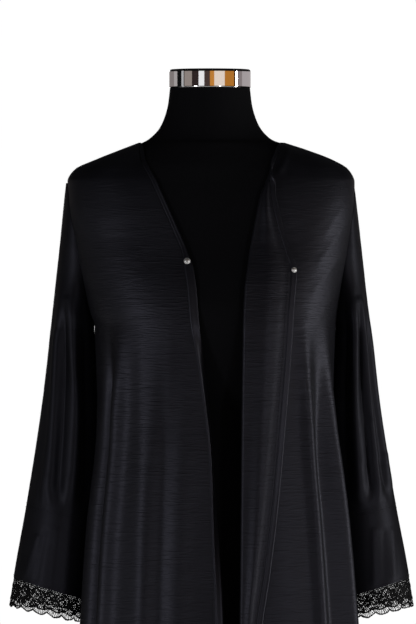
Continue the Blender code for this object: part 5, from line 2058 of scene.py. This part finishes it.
@dataclass
class Stand:
    """The chromed neck cap, the pole and the round base."""

    cap_radius: float = 0.0597
    cap_bottom: float = 1.5293
    cap_top: float = 1.5573
    cap_round: float = 0.0035
    pole_radius: float = 0.0160
    pole_bottom: float = 0.0243
    pole_top: float = 0.6897
    base_radius: float = 0.1700
    base_edge: float = 0.0080
    hub_radius: float = 0.0350
    hub_top: float = 0.0240

    def cap_profile(self) -> list[Spot]:
        """A flat underside, an upright side, a rounded shoulder and a faintly domed top."""
        r, c, low = self.cap_radius, self.cap_round, self.cap_bottom
        edge = self.cap_top - 0.0008
        profile = [(0.0, low), (r - 0.0012, low), (r - 0.0003, low + 0.0003)]
        profile += [(r, low + 0.0012), (r, low + 0.0018), (r, edge - c - 0.0005)]
        for i in range(9):
            angle = math.pi / 2 * i / 8
            profile.append((r - c + c * math.cos(angle), edge - c + c * math.sin(angle)))
        dome = [(r * 0.7, self.cap_top - 0.0004), (r * 0.4, self.cap_top - 0.0001), (0.0, self.cap_top)]
        return profile + dome

    def pole_profile(self) -> list[Spot]:
        """A straight tube with eased ends."""
        r, ease, low, high = self.pole_radius, 0.0006, self.pole_bottom, self.pole_top
        return [(0.0, low), (r - ease, low), (r, low + ease), (r, high - ease), (r - ease, high), (0.0, high)]

    def base_profile(self) -> list[Spot]:
        """A flat plate with an eased edge that rises to a hub."""
        r, edge, hub, top = self.base_radius, self.base_edge, self.hub_radius, self.hub_top
        plate = [(0.0, 0.0), (r - 0.0010, 0.0), (r, 0.0010), (r, edge - 0.0022), (r - 0.0007, edge - 0.0007)]
        plate += [(r - 0.0022, edge), (r * 0.7, edge + 0.0012)]
        rise = [(hub + 0.010, edge + 0.0040), (hub + 0.003, edge + 0.0052), (hub, edge + 0.0070)]
        rise += [(hub - 0.005, edge + 0.0115), (hub - 0.008, top - 0.0010), (hub - 0.0088, top), (0.0, top)]
        return plate + rise

    def build(self, chrome: Any, pole: Any, base: Any) -> None:
        """Builds the three metal pieces.

        Args:
            chrome: the cap's finish.
            pole: the pole's.
            base: the base's.
        """
        dress(lathe("neck_cap_chrome", self.cap_profile(), 128, chrome), "chrome_neck_cap", "neck_cap")
        dress(lathe("pole_tube", self.pole_profile(), 64, pole), "stand_pole_metal", "stand_pole")
        dress(lathe("base_plate", self.base_profile(), 128, base), "stand_base_metal", "stand_base")


# The studio


class Card(NamedTuple):
    """An upright card that the chrome mirrors: its edges, in degrees from the front, and its colour."""

    start: float
    end: float
    colour: str


class Light(NamedTuple):
    """A soft box: its place, width and height in metres, its power in watts and its colour."""

    name: str
    at: tuple[float, float, float]
    size: Spot
    power: float
    colour: str


LIGHTS = table(
    Light,
    ("left", (-2.8, -3.2, 0.80), (0.6, 0.9), 31.0, "#fafaff"),
    ("right", (2.0, -3.7, 0.80), (0.4, 0.9), 15.0, "#fafaff"),
    ("rim_right", (3.2, -0.5, 0.95), (0.3, 1.5), 32.0, "#ffffff"),
    ("behind", (-0.9, 4.2, 1.30), (0.8, 1.4), 18.0, "#ffffff"),
    ("rim_left", (-2.8, -0.3, 1.2), (0.4, 1.6), 1.0, "#ffffff"),
)
CARDS = table(
    Card,
    (-176.0, -123.0, "#8a8280"),
    (-123.0, -106.0, "#b0aaa8"),
    (-77.0, -52.0, "#9a8f88"),
    (-52.0, -32.0, "#302524"),
    (-32.0, -16.0, "#ffffff"),
    (-16.0, 0.0, "#4b3c38"),
    (0.0, 12.0, "#d08a3c"),
    (12.0, 42.0, "#f5e4d5"),
    (42.0, 72.0, "#c07c30"),
    (86.0, 103.0, "#8f8585"),
    (103.0, 176.0, "#b3abab"),
)


@dataclass
class Studio:
    """A pale floor, soft lights, cards that only gloss mirrors, and the camera."""

    distance: float = 9.0
    height: float = 1.29
    aim_x: float = -0.0029
    aim_z: float = 1.2001
    frame_height: float = 0.917
    sensor_mm: float = 36.0
    chest: tuple[float, float, float] = (0.0, 0.0, 1.0)
    floor_radius: float = 4.2
    floor_steps: int = 96
    card_steps: int = 8
    card_radius: float = 2.6
    card_foot: float = 1.46
    card_height: float = 0.26
    glow: float = 0.30
    gloss_glow: float = 0.006

    def camera(self) -> None:
        """Stands the camera where the photograph was taken from."""
        data = bpy.data.cameras.new("camera")
        data.sensor_width = self.sensor_mm
        data.lens = self.sensor_mm * self.distance / self.frame_height
        data.clip_end = 10 * self.distance
        made = add_object("camera", data)
        made.location = (self.aim_x, -self.distance, self.height)
        down = math.atan2(self.height - self.aim_z, self.distance)
        made.rotation_euler = (math.pi / 2 - down, 0.0, 0.0)
        bpy.context.scene.camera = made

    def light(self, light: Light) -> None:
        """Sets up a soft box that faces the chest.

        Args:
            light: its values.
        """
        data = bpy.data.lights.new(light.name, "AREA")
        data.shape = "RECTANGLE"
        data.size, data.size_y = light.size
        data.energy = light.power
        data.color = linear(light.colour)[:3]
        made = add_object(light.name, data)
        made.location = light.at
        x, y, z = np.array(self.chest) - np.array(light.at)
        made.rotation_euler = (math.pi / 2 - math.atan2(-z, math.hypot(x, y)), 0.0, math.atan2(-x, y))
        made.visible_camera = False

    def card(self, number: int, card: Card) -> None:
        """Stands one curved card round the object, seen only in gloss.

        Args:
            number: its place in the row.
            card: its edges and colour.
        """
        turn = np.radians(np.linspace(card.start, card.end, self.card_steps + 1))
        foot = np.full(len(turn), self.card_foot)
        low = np.column_stack([self.card_radius * np.sin(turn), -self.card_radius * np.cos(turn), foot])
        points = np.concatenate([low, low + [0, 0, self.card_height]])
        above = len(turn)
        faces = [[i, i + 1, above + i + 1, above + i] for i in range(self.card_steps)]
        material = bpy.data.materials.new(f"card_{number}")
        material.use_nodes = True
        tree = material.node_tree
        tree.nodes.clear()
        glow = add_node(tree, "ShaderNodeEmission", {"Color": linear(card.colour), "Strength": 1.0})
        out = add_node(tree, "ShaderNodeOutputMaterial")
        tree.links.new(glow.outputs[0], out.inputs["Surface"])
        made = mesh_object(f"card_{number}", points, faces, material)
        made.visible_camera = made.visible_diffuse = made.visible_shadow = False

    def world(self) -> None:
        """A white backdrop for the camera, faint elsewhere, so that black cloth stays black."""
        world = bpy.data.worlds.new("studio")
        bpy.context.scene.world = world
        world.use_nodes = True
        tree = world.node_tree
        tree.nodes.clear()
        ray = add_node(tree, "ShaderNodeLightPath").outputs
        faint = maths(tree, "MULTIPLY_ADD", ray["Is Diffuse Ray"], self.glow, self.gloss_glow)
        strength = maths(tree, "ADD", ray["Is Camera Ray"], faint)
        back = add_node(tree, "ShaderNodeBackground", {"Color": linear("#ffffff"), "Strength": strength})
        out = add_node(tree, "ShaderNodeOutputWorld")
        tree.links.new(back.outputs[0], out.inputs["Surface"])

    def build(self, floor: Any) -> None:
        """Sets the floor in its paint, the lights, cards, backdrop and camera.

        Args:
            floor: the floor's paint.
        """
        turn = np.linspace(0, 2 * math.pi, self.floor_steps + 1)[:-1]
        points = self.floor_radius * np.column_stack([np.cos(turn), np.sin(turn), 0 * turn])
        mesh_object("floor", points, [list(range(self.floor_steps))], floor)
        for light in LIGHTS:
            self.light(light)
        for number, card in enumerate(CARDS):
            self.card(number, card)
        self.world()
        self.camera()
        bpy.context.scene.view_settings.view_transform = "Standard"


@dataclass
class Abaya:
    """The whole garment: panels, bindings, sleeves, lace, studs and stitching."""

    cloth: BodyCloth
    stitch_off: float = WALL / 2 + 0.0004
    stitch_row: float = 0.006
    stitch_end: float = 0.004
    right_stitch_share: float = 0.012
    left_stitch_share: float = 0.985
    cuff_stitches: tuple[float, ...] = (CUFF_SEAM + 0.0030, CUFF_SEAM - 0.0034, SLEEVE_HEM + 0.0036)

    def crepe(self, slot: str) -> Any:
        """The crepe of one slot, plainer off the panels, shinier on bindings and duller on sleeves, where its
        lower specular level is painted shade.
        """
        if "band" in slot:
            return SatinCrepe(slot, gloss_low=0.40, gloss_high=0.50, level=0.40, ripple_depth_mm=0.4).build()
        if "sleeve" in slot or "cuff" in slot:
            # A less reflective copy of the same crepe: painted shade that darkens the sleeves and cuffs.
            return SatinCrepe(slot, gloss_low=0.48, gloss_high=0.58, level=0.22, ripple_depth_mm=0.4).build()
        return SatinCrepe(slot).build()

    def build(self) -> None:
        """Builds every piece of cloth, the studs and the stitching."""
        edges = FrontEdges(self.cloth)
        shape = SleeveShape(self.cloth)
        pieces = BodyPanels(self.cloth, edges).build(self.crepe)
        pieces += EdgeBindings(edges).build(self.crepe)
        pieces += Sleeves(shape).build(self.crepe)
        for side in Side:
            thread = SpunThread(f"{side.word}_lace_thread").build()
            pieces.append(LaceEdging(shape).build(side, thread))
        for piece, cut in pieces:
            self.declare(piece, cut)
        Snaps(edges).build(lambda slot: WorkedMetal(slot, "#f2f2f0", 0.42, 0.55, Lay.EVEN).build())
        self.sew(edges, shape)

    def declare(self, piece: Any, cut: Cut) -> None:
        """Works out whether a sheet of cloth hangs or drapes and what lies under it, and keeps neither."""
        held = "hung" if "lace" in piece.name or "cuff" in piece.name else "draped"
        side, above = piece.name.split("_")[0], {"cuff": "sleeve_cloth", "lace": "cuff_cloth"}
        below = [f"{side}_{rest}" for word, rest in above.items() if word in piece.name]
        below = below or ["torso_shell"]
        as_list(below)

    def sew(self, edges: FrontEdges, shape: SleeveShape) -> None:
        """Sews the rows that hold the bindings, the cuffs and the lace."""
        line = StitchLine(SpunThread("stitching_thread", "#202024", 0.5).build())
        rows = np.arange(NECK_SEAM - self.stitch_end, HEM + self.stitch_end, -self.stitch_row)
        right = along(edges.right_front, rows, self.right_stitch_share, self.stitch_off)
        left = along(edges.left_front, rows, self.left_stitch_share, self.stitch_off)
        dress(line.sew("front_edge_stitches", [right, left]), "right_front_cloth")
        for side in Side:
            paths = []
            for z in self.cuff_stitches:
                ring = shape.at(z, np.linspace(math.pi, -math.pi, 160), side)
                away = ring - ring.mean(axis=0)
                away[:, 2] = 0
                paths.append(ring + unit(away) * self.stitch_off)
            dress(line.sew(f"{side.word}_cuff_stitches", paths), f"{side.word}_cuff_cloth")


def main() -> None:
    """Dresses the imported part, in order."""
    logging.basicConfig(level=logging.INFO, format="%(message)s")
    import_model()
    cloth = BodyCloth()
    DressForm(cloth).build(JerseyCover("form_black_jersey").build())
    Abaya(cloth).build()
    Stand().build(
        WorkedMetal("chrome_plate", "#e6e6e8", 0.03, 0.07, Lay.ROUND, 0.001).build(),
        WorkedMetal("brushed_steel_tube", "#a8a8aa", 0.22, 0.36, Lay.UPRIGHT).build(),
        WorkedMetal("turned_steel_plate", "#9c9c9f", 0.28, 0.42, Lay.ROUND).build(),
    )
    Studio().build(MattPaint("floor_paint", "#eceae6").build())


if __name__ == "__main__":
    main()
